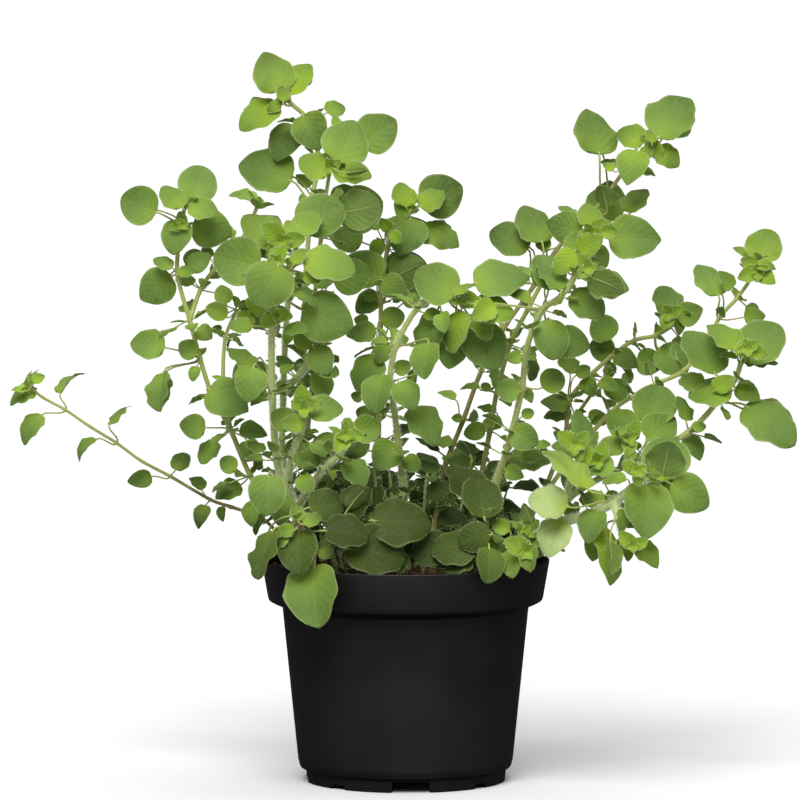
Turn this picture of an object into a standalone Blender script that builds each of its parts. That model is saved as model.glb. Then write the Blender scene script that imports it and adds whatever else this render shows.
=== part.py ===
"""Potted oregano: a black nursery pot full of soil, and the leafy stems that spread out of it.

The tables are in millimetres and the model is in metres, +Z up. Its origin is on the pot's axis,
level with the underside of the pot's feet. The plant is laid out as a grower sees it from the
front: a place is given by the x and z where it is seen in the upright plane through the pot's
axis, and by its depth, which is negative in front of that plane and positive behind it.
"""
import math
from dataclasses import dataclass, replace
from functools import partial

import bmesh
import bpy
import numpy as np
from mathutils.bvhtree import BVHTree

MM = 0.001
UP = np.array([0.0, 0.0, 1.0])

# Pot
POT_HEIGHT = 100.0
RIM_RADIUS = 65.0
BAND_FOOT = (62.3, 84.2)
WALL_HEAD = (55.6, 79.2)
WALL_FOOT = (48.5, 9.0)
FOOT_RADIUS = 45.2
FOOT_HEIGHT = 5.6
FOOT_WIDTH = 2.6
WALL = 1.3
FLOOR = (5.0, 6.5)
POT_SIDES = 36
NOTCH_TURN = 3.0
WIDE_NOTCH = (21.7, 4.6)
LOW_NOTCH = (9.0, 1.8)
DRAIN_HOLES = 6
DRAIN_RADIUS = 4.0
DRAIN_RING = 30.0

# Soil
SOIL_TOP = 95.0
SOIL_GAP = 0.3
SOIL_INSET = 0.8
SOIL_SWELL = 1.5
SOIL_SIDES = 24
SOIL_RINGS = (1, 0.75, 0.45, 0.15, 0)
STEM_DEPTH = 7.0
HOLE_SIDES = 6

# Stems and leaves
STEM_TAPER = 0.7
STEM_SIDE = np.array([0.83, 0.56, 0.05])
LEVEL = 1.3
LEAVES_PER_LEVEL = 3
LEAST_DIRECT = -0.2
AIM = 0.2
SIDE_SHOOT = 0.8
BLADE = 0.8
PETIOLE = 1.2
LONG_STALK = 4.0
BLADE_SHARES = [(17.0, (0.16, 0.45, 0.8)), (9.5, (0.26, 0.68)), (0.0, (0.45,))]
FULLER = 1.05
BROAD = 0.84
NARROW = 0.72
ARCH = (0.04, 0.18)
LEAN = math.radians(24)

# How leaves are moved along the line of sight, and made smaller, to stay clear of one another
CLEAR = 0.45
NEAR = 0.1
LIFT = 0.08
SHIFTS = (0, -2, 2, -4, 4, -6, 6, -9, 9, -12, 12, -16, 16)
SIZES_AND_SLIDES = ((1.0, 0), (1.0, 1.5), (1.0, 3), (0.85, 0), (0.85, 3), (0.7, 2))
SEED = 7

# Leaves that grow behind the large ones and face the other way
BACK_LEAF_FROM = 17.0
BACK_LEAF_SIZE = 0.84
BACK_LEAF_DEPTH = 9.0
BACK_LEAF_TURN = 14.0

# The eye that the layout is read from, in front of the pot and a little above the leaves.
EYE = np.array([-2.5, -3000.0, 429.0])

# Each leafy stem has its name, where it leaves the soil (x, depth), its radius there and its
# shoots. A shoot has the shoot and joint that it grows from, the joints along it (x, z, depth) and
# its leaves. A leaf has the joint it grows from, the x and z of its middle, the clock angle of its
# tip in degrees, its length and width as seen, and how far it stands behind its joint.
STEMS = [
    ("stem_left_trailing", (-50, 17), 1.3, [
        (None, [(-54, 107, 18), (-64, 118, 18), (-78, 123.5, 17), (-88, 127, 17),
                (-106, 137.5, 17), (-119, 144.5, 15), (-130, 152.5, 13), (-142, 160, 11),
                (-153, 167.5, 9), (-163, 173, 7), (-168, 177, 6)], [
            (3, -83, 121, 190, 6, 4, 3), (4, -94, 135, 330, 9, 6, -4), (4, -92, 120, 205, 10, 7, -4),
            (5, -101, 145, 30, 11, 8, -3), (5, -119.5, 136, 255, 11, 8, 3),
            (7, -130, 166.5, 30, 13, 4, -2), (7, -144, 151, 236, 12, 4, 2),
            (9, -152, 181, 30, 14, 4, 3), (9, -169, 161, 231, 14, 8, -3),
            (11, -172.5, 175.5, 255, 13, 7, 2), (11, -168, 182.5, 5, 9, 4, 3),
            (11, -165, 182, 40, 7, 5, -3), (11, -174, 177, 285, 7, 3, -3)]),
    ]),
    ("stem_left", (-42, -10), 1.4, [
        (None, [(-47, 110, -10), (-60, 124, -10), (-70, 138, -11), (-79, 159, -12),
                (-87, 174, -12), (-92.5, 191, -12), (-97, 208, -12), (-102.5, 229, -12),
                (-101, 250, -13), (-99, 259, -14)], [
            (9, -120, 260, 292, 18, 17, 2), (10, -93, 270, 20, 18, 17, 3),
            (10, -104.5, 264, 320, 14, 10, -3), (10, -91, 258, 95, 14, 10, -3),
            (9, -103, 246, 195, 15, 13, -5), (9, -87, 249, 105, 18, 17, 3),
            (8, -109, 234, 300, 10, 6, -2), (8, -112, 223, 235, 17, 16, 2),
            (8, -98, 230, 70, 9, 5, -4), (8, -95, 236, 50, 10, 8, 3),
            (6, -116, 197, 280, 16, 13, 4), (6, -98, 195, 300, 10, 9, -4),
            (7, -90.5, 202, 130, 8, 8, -2), (6, -110.5, 176, 190, 17, 9, 3),
            (6, -95, 184, 200, 7, 5, -3), (4, -96, 160, 275, 12, 11, -2),
            (4, -89, 149, 225, 12, 8, 3), (3, -80, 143, 300, 9, 8, -3),
            (5, -80, 172, 120, 20, 17, 6), (3, -80, 131, 245, 13, 9, 2),
            (4, -68.5, 157.5, 95, 13, 8, 4), (4, -70, 149.5, 160, 9, 9, 2),
            (2, -70, 121, 188, 11, 8, -3), (2, -65, 118, 214, 11, 4, 2)]),
        ((0, 7), [(-92, 222, -8), (-85, 232, -6), (-74, 244, -4), (-67, 258, -3)], [
            (4, -73, 263.5, 288, 13, 5, 0), (3, -80, 249, 340, 9, 5, 2)]),
        ((0, 4), [(-82, 180, -17), (-81, 200, -18), (-76, 212, -18)], [
            (3, -67, 210.5, 100, 15, 11, -2), (3, -85, 212, 300, 11, 8, -2),
            (3, -84, 214, 325, 7, 5, 2), (3, -82, 220, 345, 10, 8, 3)]),
    ]),
    ("stem_hairy_pair", (-47, -25), 1.6, [
        (None, [(-48.5, 110, -25), (-50, 122, -26), (-54, 133, -28), (-58, 145, -30),
                (-60, 175, -33), (-60, 205, -36), (-57, 222, -38), (-54, 231, -39)], [
            (8, -76, 235, 285, 22, 21, 0), (7, -61.5, 224, 205, 20, 21, -5),
            (8, -58, 237, 330, 9, 7, -4), (6, -57, 211, 30, 9, 7, -4),
            (8, -34, 234, 98, 24, 14, -2), (8, -42, 227, 120, 8, 6, -4),
            (7, -35, 209, 108, 24, 22, 0), (5, -69.5, 181.5, 190, 21, 20, -4),
            (5, -74.5, 191.5, 318, 15, 8, -6), (3, -62.5, 131, 185, 17, 16, -5),
            (2, -56, 122, 190, 13, 10, -5), (8, -48, 237, 30, 9, 6, -3)]),
        ((0, 2), [(-53, 138, -21), (-55.5, 150, -18), (-55, 175, -16), (-54, 200, -15),
                  (-52, 225, -14), (-50, 237, -14), (-48, 245, -14)], [
            (7, -63.5, 250.5, 312, 22, 15, -2), (7, -45, 252, 45, 16, 11, -4),
            (7, -38, 256, 60, 23, 19, 2), (7, -52, 250, 345, 8, 6, -4)]),
        ((0, 3), [(-51, 146, -35), (-48, 156, -38), (-46.5, 164, -40)], [
            (3, -55.5, 163.5, 300, 12, 11, 2), (3, -51, 161.5, 270, 11, 8, -4),
            (3, -48, 170, 340, 9, 7, -2), (3, -36, 168, 75, 16, 12, 2),
            (1, -44, 146, 120, 12, 11, -3), (1, -45, 134, 150, 9, 8, -4)]),
        ((0, 2), [(-44, 131, -36), (-37, 141, -41), (-30, 147, -43), (-26, 155, -44)], [
            (4, -17, 159, 80, 13, 12, 0), (4, -31, 157, 320, 10, 4, -3),
            (4, -26, 161, 0, 8, 6, -3), (4, -36, 153, 290, 12, 9, 4),
            (3, -22, 139, 150, 14, 11, -3)]),
        ((1, 3), [(-49, 182, -22), (-43, 189, -25), (-40, 196, -27)], [
            (2, -38, 190, 150, 13, 12, -3), (3, -46, 199, 325, 10, 8, -2),
            (2, -37.7, 178.5, 170, 12, 10, 3)]),
    ]),
    ("stem_tallest", (-43, 8), 1.5, [
        (None, [(-44, 115, 10), (-45, 150, 18), (-45.5, 185, 28), (-45, 225, 38),
                (-42, 262, 46), (-39, 280, 50), (-43, 297, 52), (-52, 306, 52)], [
            (8, -60, 320, 335, 21, 18, 2), (8, -48, 317, 25, 18, 13, -2),
            (8, -66, 300.5, 248, 21, 12, -2), (8, -55, 310, 0, 8, 6, -4),
            (8, -59, 304, 250, 7, 5, -5), (7, -42, 293, 150, 17, 16, -2),
            (7, -54, 288, 215, 18, 14, 1), (5, -63, 275, 290, 26, 20, 3),
            (6, -46, 271, 320, 9, 6, -4), (6, -41, 272, 30, 7, 5, -4)]),
        ((0, 2), [(-42, 180, 14), (-41, 215, 12), (-38, 245, 12), (-36, 262, 12), (-34, 275, 12)], [
            (5, -26, 289, 25, 22, 21, 0), (5, -41, 277.5, 300, 16, 12, -3),
            (5, -24, 275, 90, 18, 11, -4), (5, -12, 293, 55, 21, 18, 6),
            (5, -31, 297, 350, 7, 5, 5), (5, -14.5, 281, 90, 12, 7, 5), (4, -20, 258, 75, 22, 21, 3),
            (4, -27, 264, 45, 13, 11, 8), (2, -24, 228, 75, 18, 16, 4)]),
    ]),
    ("stem_centre_back", (-13, 18), 1.4, [
        (None, [(-12.5, 115, 22), (-12, 140, 30), (-12, 165, 38), (-11, 197, 46),
                (-11, 216, 50), (-8, 240, 54), (1, 255, 56)], [
            (7, -0.6, 265.2, 352, 13, 11, -2), (7, 16.5, 264.5, 65, 21, 20, 3),
            (7, 12, 262.8, 58, 14, 10, -4), (7, 16, 246.5, 122, 19, 12, 0),
            (7, 0, 246, 195, 17, 19, -3), (6, -26.5, 245, 285, 15, 12, 0),
            (6, -7, 251, 30, 8, 6, -4), (6, -13, 240, 200, 9, 7, -4),
            (6, -14, 252, 335, 8, 6, -2), (5, -19, 232, 300, 20, 17, -1),
            (5, 0, 230, 75, 22, 19, 2), (5, -5, 223, 120, 13, 11, -4),
            (5, -17, 216, 245, 13, 10, -4), (4, -20, 208, 290, 7, 6, 3),
            (4, -5.5, 209, 80, 11, 10, -3), (4, 3, 218, 60, 10, 8, 4),
            (4, -20, 203, 270, 14, 9, 4), (4, -10, 193, 200, 10, 9, 3),
            (4, -17.5, 186, 200, 18, 14, 4), (3, -22, 173.5, 285, 6, 5, 2),
            (3, -18, 165.5, 290, 10, 8, 3)]),
    ]),
    ("stem_centre", (0, -12), 1.6, [
        (None, [(-0.5, 112, -15), (-0.5, 128, -19), (-3, 150, -23), (-5, 167, -27),
                (-7, 181, -30), (-4, 197, -33), (5, 213, -36), (15, 218, -38), (22, 217, -39)], [
            (9, 13, 225, 300, 22, 18, 2), (9, 43, 227.5, 77, 25, 16, 2),
            (9, 40, 214.3, 97, 19, 12, -4), (8, 10, 203, 205, 21, 13, 2),
            (9, 21.5, 203, 187, 18, 11, -4), (9, 33, 205, 140, 14, 9, -3),
            (9, 36, 197, 150, 22, 19, 4), (9, 26, 222.5, 48, 9, 4, -4),
            (9, 20.5, 194, 190, 14, 14, 6),
            (5, -12.5, 175.2, 195, 17, 13, -3), (5, 0.5, 174, 150, 14, 12, -5),
            (5, -1, 187, 60, 9, 7, 3), (5, 3, 184, 15, 13, 5, -3), (5, 10, 179, 95, 12, 7, 2),
            (4, 9, 161, 148, 19, 14, -4), (6, 9, 190, 190, 16, 12, 3),
            (3, -9, 147, 215, 14, 14, -4), (3, 3, 143, 130, 9, 8, -3)]),
    ]),
    ("stem_brown", (10, 24), 1.4, [
        (None, [(10.5, 113, 26), (15, 133, 28), (20, 148, 30), (26, 163, 31), (34, 185, 32),
                (44, 204, 33), (58, 224, 34), (68, 240, 34), (80, 252, 34), (90, 264, 34),
                (98, 275, 34), (108, 286, 34)], [
            (7, 46.5, 244.5, 292, 20, 15, 2), (7, 57.5, 252, 337, 20, 15, -3),
            (8, 62, 243, 10, 8, 7, -5), (10, 85, 293.5, 350, 23, 18, 2),
            (12, 120.5, 299.8, 36, 25, 20, 1), (12, 101, 291, 295, 14, 11, -1),
            (12, 118, 282, 130, 13, 10, -2), (11, 101.5, 276.8, 198, 16, 14, -4),
            (12, 108, 283, 190, 7, 6, -5), (12, 110, 291, 350, 7, 5, -4),
            (9, 90, 262, 5, 21, 18, -4), (9, 102.5, 260, 25, 17, 12, 4),
            (11, 91, 277, 310, 6, 4, -3), (4, 18.5, 174.5, 300, 9, 4, 1),
            (3, 16, 153, 275, 12, 5, 2), (4, 23, 164, 275, 5, 4, -3),
            (2, 29, 145.8, 80, 18, 9, 3)]),
    ]),
    ("stem_right_inner", (25, 8), 1.4, [
        (None, [(28, 115, 7), (34, 138, 6), (38, 158, 5), (41, 175, 4), (47, 197, 3),
                (55, 213, 2), (62, 226, 1), (72, 240, 0), (84, 248, -1)], [
            (9, 83, 256, 355, 13, 11, -3), (9, 103, 244.8, 90, 24, 19, 2),
            (9, 71, 250, 283, 17, 15, 1), (9, 87, 237, 150, 11, 9, 1),
            (9, 91, 248, 80, 8, 6, -4), (9, 80, 245, 230, 7, 5, -4),
            (3, 36.5, 168, 290, 9, 4, 2), (3, 31, 158, 260, 10, 8, -2),
            (3, 37, 160, 30, 8, 5, -3), (4, 41.5, 182, 350, 11, 8, 4),
            (4, 29, 178, 275, 9, 3, 2), (4, 36, 178, 300, 5, 4, -2),
            (1, 42, 141, 35, 17, 10, 3), (2, 25, 144, 290, 13, 9, 3)]),
    ]),
    ("stem_hairy_right", (36, -14), 1.6, [
        (None, [(37, 112, -18), (40, 133, -22), (45, 147, -25), (48, 158, -28), (52.5, 178, -32),
                (54, 193, -35), (57, 203, -37), (62, 213, -39), (70, 219, -41), (76, 228, -42),
                (78, 234, -42)], [
            (8, 63.3, 230.5, 355, 18, 15, 2), (8, 65, 228, 325, 16, 9, -3),
            (11, 77, 241, 350, 15, 11, 0),
            (7, 66, 200, 172, 17, 15, -4), (8, 75, 198, 105, 16, 14, 2),
            (10, 91, 225, 95, 19, 13, -2), (10, 82, 216, 120, 17, 13, 3),
            (11, 81, 228, 95, 13, 5, -5), (11, 83, 234, 70, 9, 5, -2),
            (6, 57.3, 187.3, 168, 12, 6, 3), (5, 46, 176.5, 275, 11, 10, -3),
            (5, 66.3, 181, 55, 12, 11, 2), (4, 53.5, 155, 120, 13, 12, -5),
            (4, 62, 151.6, 80, 7, 4, 4),
            (4, 55, 166, 60, 6, 5, 1), (5, 55, 174, 150, 7, 5, 3),
            (3, 49, 139, 110, 9, 7, -2), (2, 56, 146, 90, 20, 10, 6), (7, 49, 191, 250, 7, 6, -3)]),
    ]),
    ("stem_right_back", (48, 20), 1.4, [
        (None, [(53, 112, 24), (62, 130, 28), (68, 145, 32), (72, 156, 34), (74, 172, 37),
                (83, 183, 39), (94, 193, 41), (103, 199, 42), (112, 201, 43), (119, 205, 43),
                (123, 210, 43)], [
            (7, 88.5, 205, 325, 14, 13, -2), (7, 88, 195, 285, 12, 11, 3),
            (7, 99, 190, 110, 12, 9, -3), (7, 92, 187, 180, 8, 5, -4),
            (7, 110, 189, 100, 13, 12, 2), (9, 120, 190, 130, 17, 14, -3),
            (11, 117, 217, 345, 16, 13, 2), (11, 128, 211, 70, 13, 11, 0),
            (11, 116, 209, 320, 10, 4, -4), (11, 121, 211, 0, 8, 5, -5),
            (11, 123, 205, 170, 7, 5, -3), (5, 67.5, 171.5, 280, 14, 8, -2),
            (5, 68.5, 165.5, 275, 13, 7, 1),
            (5, 73, 190, 350, 13, 9, 2), (5, 80, 185, 60, 8, 6, -3),
            (6, 82.5, 178, 150, 9, 8, -3)]),
        ((0, 4), [(77, 165, 37), (84, 175, 40), (89, 182, 41)], [
            (3, 95, 176, 140, 12, 10, -1), (3, 100, 182, 80, 6, 5, 1), (1, 86, 165, 80, 8, 6, 2)]),
    ]),
    ("stem_right_far", (43, 2), 1.4, [
        (None, [(50, 110, 4), (62, 128, 6), (76, 148, 8), (92, 166, 9), (101, 173, 10),
                (112, 179, 11), (124, 184.5, 12), (134, 195, 12), (141, 209, 12),
                (149, 218, 12), (156, 228, 12), (158, 233, 12)], [
            (12, 161, 242, 20, 17, 16, 1), (12, 162, 232, 100, 9, 5, -4),
            (12, 154, 234, 290, 8, 6, -4), (12, 151, 239, 310, 9, 4, 0),
            (9, 136.3, 226.8, 330, 18, 12, 1), (9, 157, 210, 82, 10, 8, 0),
            (4, 98, 160, 170, 16, 14, 3), (4, 87, 163, 250, 8, 6, 2),
            (3, 75.5, 136, 200, 13, 10, 3)]),
    ]),
    ("stem_right_arched", (50, -14), 1.6, [
        (None, [(57, 108, -17), (72, 126, -21), (88, 137, -24), (99, 142, -26), (107, 146, -27),
                (128, 158, -29), (141, 172, -31), (148, 181, -32), (151, 189, -33)], [
            (9, 160, 199, 38, 24, 20, 1), (9, 143, 201, 322, 18, 11, -3),
            (8, 133.5, 194, 330, 24, 16, 3), (9, 152, 196, 10, 9, 6, -4),
            (9, 145, 192, 285, 8, 3, -5), (9, 160, 190, 80, 15, 5, -4),
            (8, 137, 176.3, 270, 20, 11, -3), (8, 154, 175.5, 110, 12, 9, 4),
            (8, 128.5, 180, 300, 12, 9, 4),
            (7, 164.8, 162.4, 121, 28, 17, -2), (6, 125.3, 168.5, 350, 12, 7, 1),
            (6, 132, 160, 70, 7, 5, -2), (6, 130, 151, 150, 13, 8, 3),
            (5, 112, 170, 12, 20, 19, 2), (5, 115, 160, 45, 17, 16, -3),
            (3, 87, 141, 272, 17, 10, -4)]),
        ((0, 4), [(100, 148, -31), (99.5, 153, -34)], [
            (2, 91.5, 150, 266, 14, 9, -1), (2, 97, 157, 335, 9, 4, -3),
            (2, 103, 157, 20, 10, 5, -2), (2, 101, 147, 170, 7, 5, -4)]),
        ((0, 2), [(75, 138, -27), (79, 149, -30)], [
            (2, 80.5, 159.5, 0, 19, 11, 1), (2, 72, 151, 283, 13, 9, -2),
            (2, 84, 154, 20, 10, 5, -4), (2, 78, 153, 320, 6, 4, -5)]),
    ]),
    ("stem_right_front", (47, -31), 1.6, [
        (None, [(52, 105, -38), (60, 111, -46), (71, 117, -52), (83, 120, -56), (94, 126, -59),
                (102, 132, -61), (109, 137, -62)], [
            (7, 117.5, 146.5, 10, 21, 21, 1), (7, 128, 129.5, 118, 19, 17, 4),
            (7, 108.5, 122, 180, 24, 21, -2), (7, 104, 141, 290, 10, 6, -2),
            (7, 111, 132, 165, 9, 6, -5), (7, 118, 133, 115, 10, 8, -3),
            (5, 64, 126, 285, 18, 14, -4), (5, 73.5, 142, 320, 26, 10, -2),
            (3, 66.5, 110, 205, 17, 14, -5), (2, 57, 108, 240, 12, 6, -5),
            (4, 84, 115, 200, 15, 12, 4), (4, 85, 105, 190, 10, 9, 7),
            (5, 84, 127, 280, 12, 8, 5), (6, 94, 136, 268, 11, 5, -2)]),
        ((0, 5), [(96, 118, -64), (98, 110, -66)], [
            (1, 93.3, 103.5, 166, 25, 10, -3), (1, 98, 119, 180, 10, 5, 3),
            (2, 109, 102, 130, 14, 9, 1), (2, 102, 107, 90, 8, 5, -2), (2, 100, 103, 170, 7, 5, 2)]),
    ]),
    ("shoot_rim_right", (41, -41), 1.1, [
        (None, [(47, 105, -47), (52, 110, -52)], [
            (2, 52, 107, 250, 7, 5, -3), (2, 56, 100, 185, 11, 8, -4), (2, 51, 114, 325, 10, 4, -1),
            (2, 51, 122, 282, 16, 9, 3), (1, 43, 115, 300, 9, 7, 2), (2, 56, 115, 50, 11, 8, 3),
            (1, 48, 98, 185, 13, 10, -8), (1, 49, 105, 150, 8, 6, -3)]),
    ]),
    ("shoot_front_left", (-35, -40), 1.3, [
        (None, [(-40, 106, -50), (-45, 111, -52), (-47.5, 117, -53)], [
            (1, -41.5, 83.5, 182, 27, 22, -10), (3, -48.5, 103.5, 183, 19, 17, -4),
            (3, -64.3, 103, 205, 22, 9, 1), (3, -57, 108, 235, 9, 6, -1), (3, -49, 121, 350, 8, 6, -3),
            (3, -42, 118, 60, 9, 6, -4), (3, -54, 113, 265, 8, 6, -4), (3, -35.5, 124.8, 80, 17, 14, 2),
            (2, -26.5, 112, 95, 20, 14, -2), (2, -36, 103, 110, 7, 6, 1)]),
    ]),
    ("shoot_front", (-20, -42), 1.2, [
        (None, [(-25, 104, -47), (-29, 109, -49)], [
            (1, -16.3, 103.8, 95, 27, 21, -5), (2, -23.5, 126.5, 25, 20, 16, 7),
            (2, -35, 108, 280, 8, 6, 2)]),
    ]),
    ("shoot_front_centre", (-5, -33), 1.2, [
        (None, [(-9, 108, -37), (-13, 116, -39)], [
            (2, -1.8, 117.5, 90, 27, 20, -4), (1, -3, 100, 120, 13, 8, -10), (1, 3, 106, 80, 12, 9, 0),
            (2, -13, 128, 0, 11, 8, 4)]),
    ]),
    ("shoot_front_right", (21, -36), 1.3, [
        (None, [(29, 106, -42), (36, 112, -45), (37, 118, -46)], [
            (1, 12.3, 104, 252, 19, 15, 0), (2, 22, 106, 276, 21, 15, -4),
            (2, 31, 110, 262, 15, 13, -8), (2, 38, 97.5, 178, 18, 14, -12),
            (3, 35, 123, 340, 14, 12, -6), (3, 34, 127, 350, 20, 17, -1),
            (3, 28, 132, 335, 24, 16, 4), (2, 43, 116, 60, 9, 7, -2), (2, 41, 107, 130, 9, 7, -2),
            (1, 24, 98, 260, 14, 6, -4)]),
    ]),
    ("shoot_centre", (12, -14), 1.1, [
        (None, [(13, 112, -15), (14, 122, -16)], [
            (2, 15, 131, 40, 13, 9, 0), (2, 7, 134, 320, 8, 6, 2), (1, 20, 119, 80, 14, 9, 2),
            (1, 6, 121, 285, 11, 8, 2)]),
    ]),
]

# Short shoots round the back of the pot: the bearing of each from +X, and its height over the soil.
BACK_SHOOTS = [(40, 22), (65, 27), (93, 24), (119, 28), (142, 22)]
BACK_RADIUS = 1.2


@dataclass
class Leaf:
    """A leaf: the root of its petiole, and its blade's base, axis, upper face, size and arch."""
    root: np.ndarray
    base: np.ndarray
    axis: np.ndarray
    face: np.ndarray
    length: float
    width: float
    arch: float


def unit(vector):
    return vector / np.linalg.norm(vector)


def square_to(vector, axis):
    """The part of a vector that is square to a unit axis, as a unit vector."""
    return unit(vector - (vector @ axis) * axis)


def seen(x, z, depth):
    """The true place of a point at a depth, seen from the eye at x and z in the upright plane."""
    sight = np.array([x, 0.0, z]) - EYE
    return EYE + sight * (1 + depth / -EYE[1])


def stem_rings(line, radius, levels):
    """Four corners round a shoot at each of its joints, once more than the joint has levels."""
    tangents = np.gradient(line, axis=0)
    side = STEM_SIDE
    for point, tangent, wide, count in zip(line, tangents, np.linspace(1.0, STEM_TAPER, len(line)), levels):
        tangent = unit(tangent)
        side = square_to(side, tangent)
        other = np.cross(tangent, side)
        corners = radius * wide * np.array([side, other, -side, -other])
        steps = (np.arange(count + 1) - count / 2) * LEVEL
        yield [point + tangent * step + corners for step in steps]


def bridge(a, b):
    """Triangles between two loops of four points, split alike on the first and third side."""
    faces = []
    for k in range(4):
        n = (k + 1) % 4
        if k == 3:
            faces += [(a[k], a[n], b[k]), (a[n], b[n], b[k])]
        else:
            faces += [(a[k], a[n], b[n]), (a[k], b[n], b[k])]
    return faces


def matched(root, row):
    """The places of four root corners in the order that lies nearest to the corners of a row."""
    turns = [[(k + turn) % 4 for k in range(4)] for turn in range(4)]
    return min(turns, key=lambda order: np.sum((root[order] - row) ** 2))


def blade_width(share):
    """Half of an ovate blade's width at a share of its length, as a share of the greatest."""
    return 2.07 * share ** 0.45 * (1 - share) ** 0.62


def stalk_frame(leaf, way):
    """The directions across a petiole that runs in the direction `way`, and out of its upper side."""
    across = np.cross(way, leaf.face)
    across = unit(across) if np.linalg.norm(across) > 0.35 else np.cross(leaf.axis, leaf.face)
    return across, unit(np.cross(across, way))


def leaf_rows(leaf, thick, spare):
    """The rows of four corners along a leaf, and the two points of its tip.

    The blade arches back towards its tip. `spare` widens the leaf all round.
    """
    stalk = leaf.base - leaf.root
    reach = np.linalg.norm(stalk)
    along = stalk / reach
    middles, halves, frames = [], [], []
    if reach > LONG_STALK and along @ leaf.axis > -0.3:
        middles.append(leaf.base)
        halves.append(PETIOLE / 2)
        frames.append(stalk_frame(leaf, unit(along + leaf.axis)))
    for share in next(shares for least, shares in BLADE_SHARES if leaf.length >= least):
        bend = leaf.face * leaf.arch * leaf.length * share ** 2
        middles.append(leaf.base + leaf.axis * leaf.length * share - bend)
        halves.append(leaf.width / 2 * blade_width(share) * FULLER)
        frames.append((np.cross(leaf.axis, leaf.face), leaf.face))
    rows = []
    for middle, half, (across, up) in zip(middles, halves, frames):
        wide, high = across * (half + spare), up * thick / 2
        rows.append(middle + np.array([wide + high, wide - high, -wide - high, -wide + high]))
    tip = leaf.base + leaf.axis * (leaf.length + spare) - leaf.face * leaf.arch * leaf.length
    return rows, tip + np.array([leaf.face, -leaf.face]) * thick / 2


def leaf_mesh(root, leaf, thick=BLADE, spare=0.0):
    """A leaf's points and triangles, which rise from the four root corners that come first."""
    rows, tip = leaf_rows(leaf, thick, spare)
    count = 4 * len(rows)
    loops = [matched(root, rows[0])] + [range(4 + k, 8 + k) for k in range(0, count, 4)]
    faces = []
    for a, b in zip(loops, loops[1:]):
        faces += bridge(a, b)
    left, low, right, high = loops[-1][0], loops[-1][1], loops[-1][2], loops[-1][3]
    over, under = count + 4, count + 5
    faces += [(left, low, under), (left, under, over), (low, right, under),
              (right, high, over), (right, over, under), (high, left, over)]
    return np.vstack([root] + rows + [tip]), faces


def leaf_as_seen(row, root, arch, behind, shift, size, slide):
    """A leaf from its row in the table, moved by `shift` along the line of sight.

    It is made smaller by `size` and moved towards its tip by `slide`.

    The blade lies in a plane that is tipped back from the eye, so a blade that points up leans
    away and one that points down leans nearer. A blade that is seen narrow is turned about its
    own axis, with its upper face to the sky. A leaf behind its joint faces the other way.
    """
    _, x, z, clock, length, width, push = row
    length, width = length * size, width * size
    middle = seen(x, z, root[1] + push + shift)
    sight = unit(middle - EYE)
    right = unit(np.cross(sight, UP))
    up = np.cross(right, sight)
    angle = math.radians(clock)
    lean = LEAN * math.cos(angle) * (-1 if behind else 1)
    axis = math.cos(lean) * (math.sin(angle) * right + math.cos(angle) * up) + math.sin(lean) * sight
    length /= math.cos(lean)
    full_width = length * (BROAD if length >= 12 else NARROW)
    turn = math.acos(min(1.0, width / full_width))
    face = square_to(sight if behind else -sight, axis)
    other = np.cross(axis, face)
    other = other if other[2] >= 0 else -other
    face = math.cos(turn) * face + math.sin(turn) * other
    base = middle - axis * (length / 2 - slide)
    return Leaf(root, base, axis, face, length, max(width, full_width), arch)


def free_leaf(root, way, face, length, stalk, arch, shift, size, slide):
    """A leaf that grows from its root in a given direction, raised or lowered by `shift`."""
    axis = unit(way + UP * 0.06 * shift)
    return Leaf(root, root + axis * (stalk + slide), axis, square_to(face, axis),
                length * size, length * size * BROAD, arch)


class LeafyStem:
    """One leafy stem: a closed mesh with faces at its joints that shoots and leaves are raised from."""

    def __init__(self, name, radius):
        self.name = name
        self.radius = radius
        self.lines = []
        self.leaves = []
        self.points = []
        self.faces = []
        self.free = {}

    def add_shoot(self, line, levels, socket=None):
        """Add a shoot along a line, raised from a socket of its parent unless it is the first."""
        number = len(self.lines)
        self.lines.append(line)
        radius = self.radius * (1 if socket is None else SIDE_SHOOT)
        last = socket
        for joint, rings in enumerate(stem_rings(line, radius, levels)):
            if joint == 0 and socket:
                continue
            free = self.free[number, joint] = []
            for step, corners in enumerate(rings):
                here = tuple(range(len(self.points), len(self.points) + 4))
                if step:
                    free += [(last[k], last[k - 3], here[k - 3], here[k]) for k in range(4)]
                elif last:
                    order = matched(np.array([self.points[k] for k in last]), corners)
                    self.faces += bridge([last[k] for k in order], here)
                else:
                    self.faces.append(here)
                self.points += list(corners)
                last = here
        free.append(last)

    def corners(self, socket):
        return np.array([self.points[k] for k in socket])

    def facing(self, shoot, joint, place):
        """The free faces of a joint that look towards a place, the most direct first."""
        ranked = []
        for socket in self.free[shoot, joint]:
            root = self.corners(socket)
            normal = unit(np.cross(root[2] - root[0], root[3] - root[1]))
            ranked.append((normal @ unit(place - root.mean(0)), socket))
        return [socket for direct, socket in sorted(ranked, reverse=True) if direct > LEAST_DIRECT]

    def leaf_on(self, socket, leaf):
        """The points and the faces that a leaf adds when it is raised from a socket."""
        points, faces = leaf_mesh(self.corners(socket), leaf)
        places = list(socket) + list(range(len(self.points), len(self.points) + len(points) - 4))
        return list(points[4:]), [tuple(places[k] for k in face) for face in faces]

    def tangled(self, added, new):
        """True where the new faces cross one another or the faces that are there already."""
        points, faces = self.solid()
        points = np.vstack([points, added]).tolist()
        faces = faces + new
        pairs = BVHTree.FromPolygons(points, new).overlap(BVHTree.FromPolygons(points, faces))
        return any(set(new[a]).isdisjoint(faces[b]) for a, b in pairs)

    def solid(self):
        """All the points and faces, with the faces that nothing was raised from."""
        unused = [socket for free in self.free.values() for socket in free]
        return np.array(self.points), self.faces + unused


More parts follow.
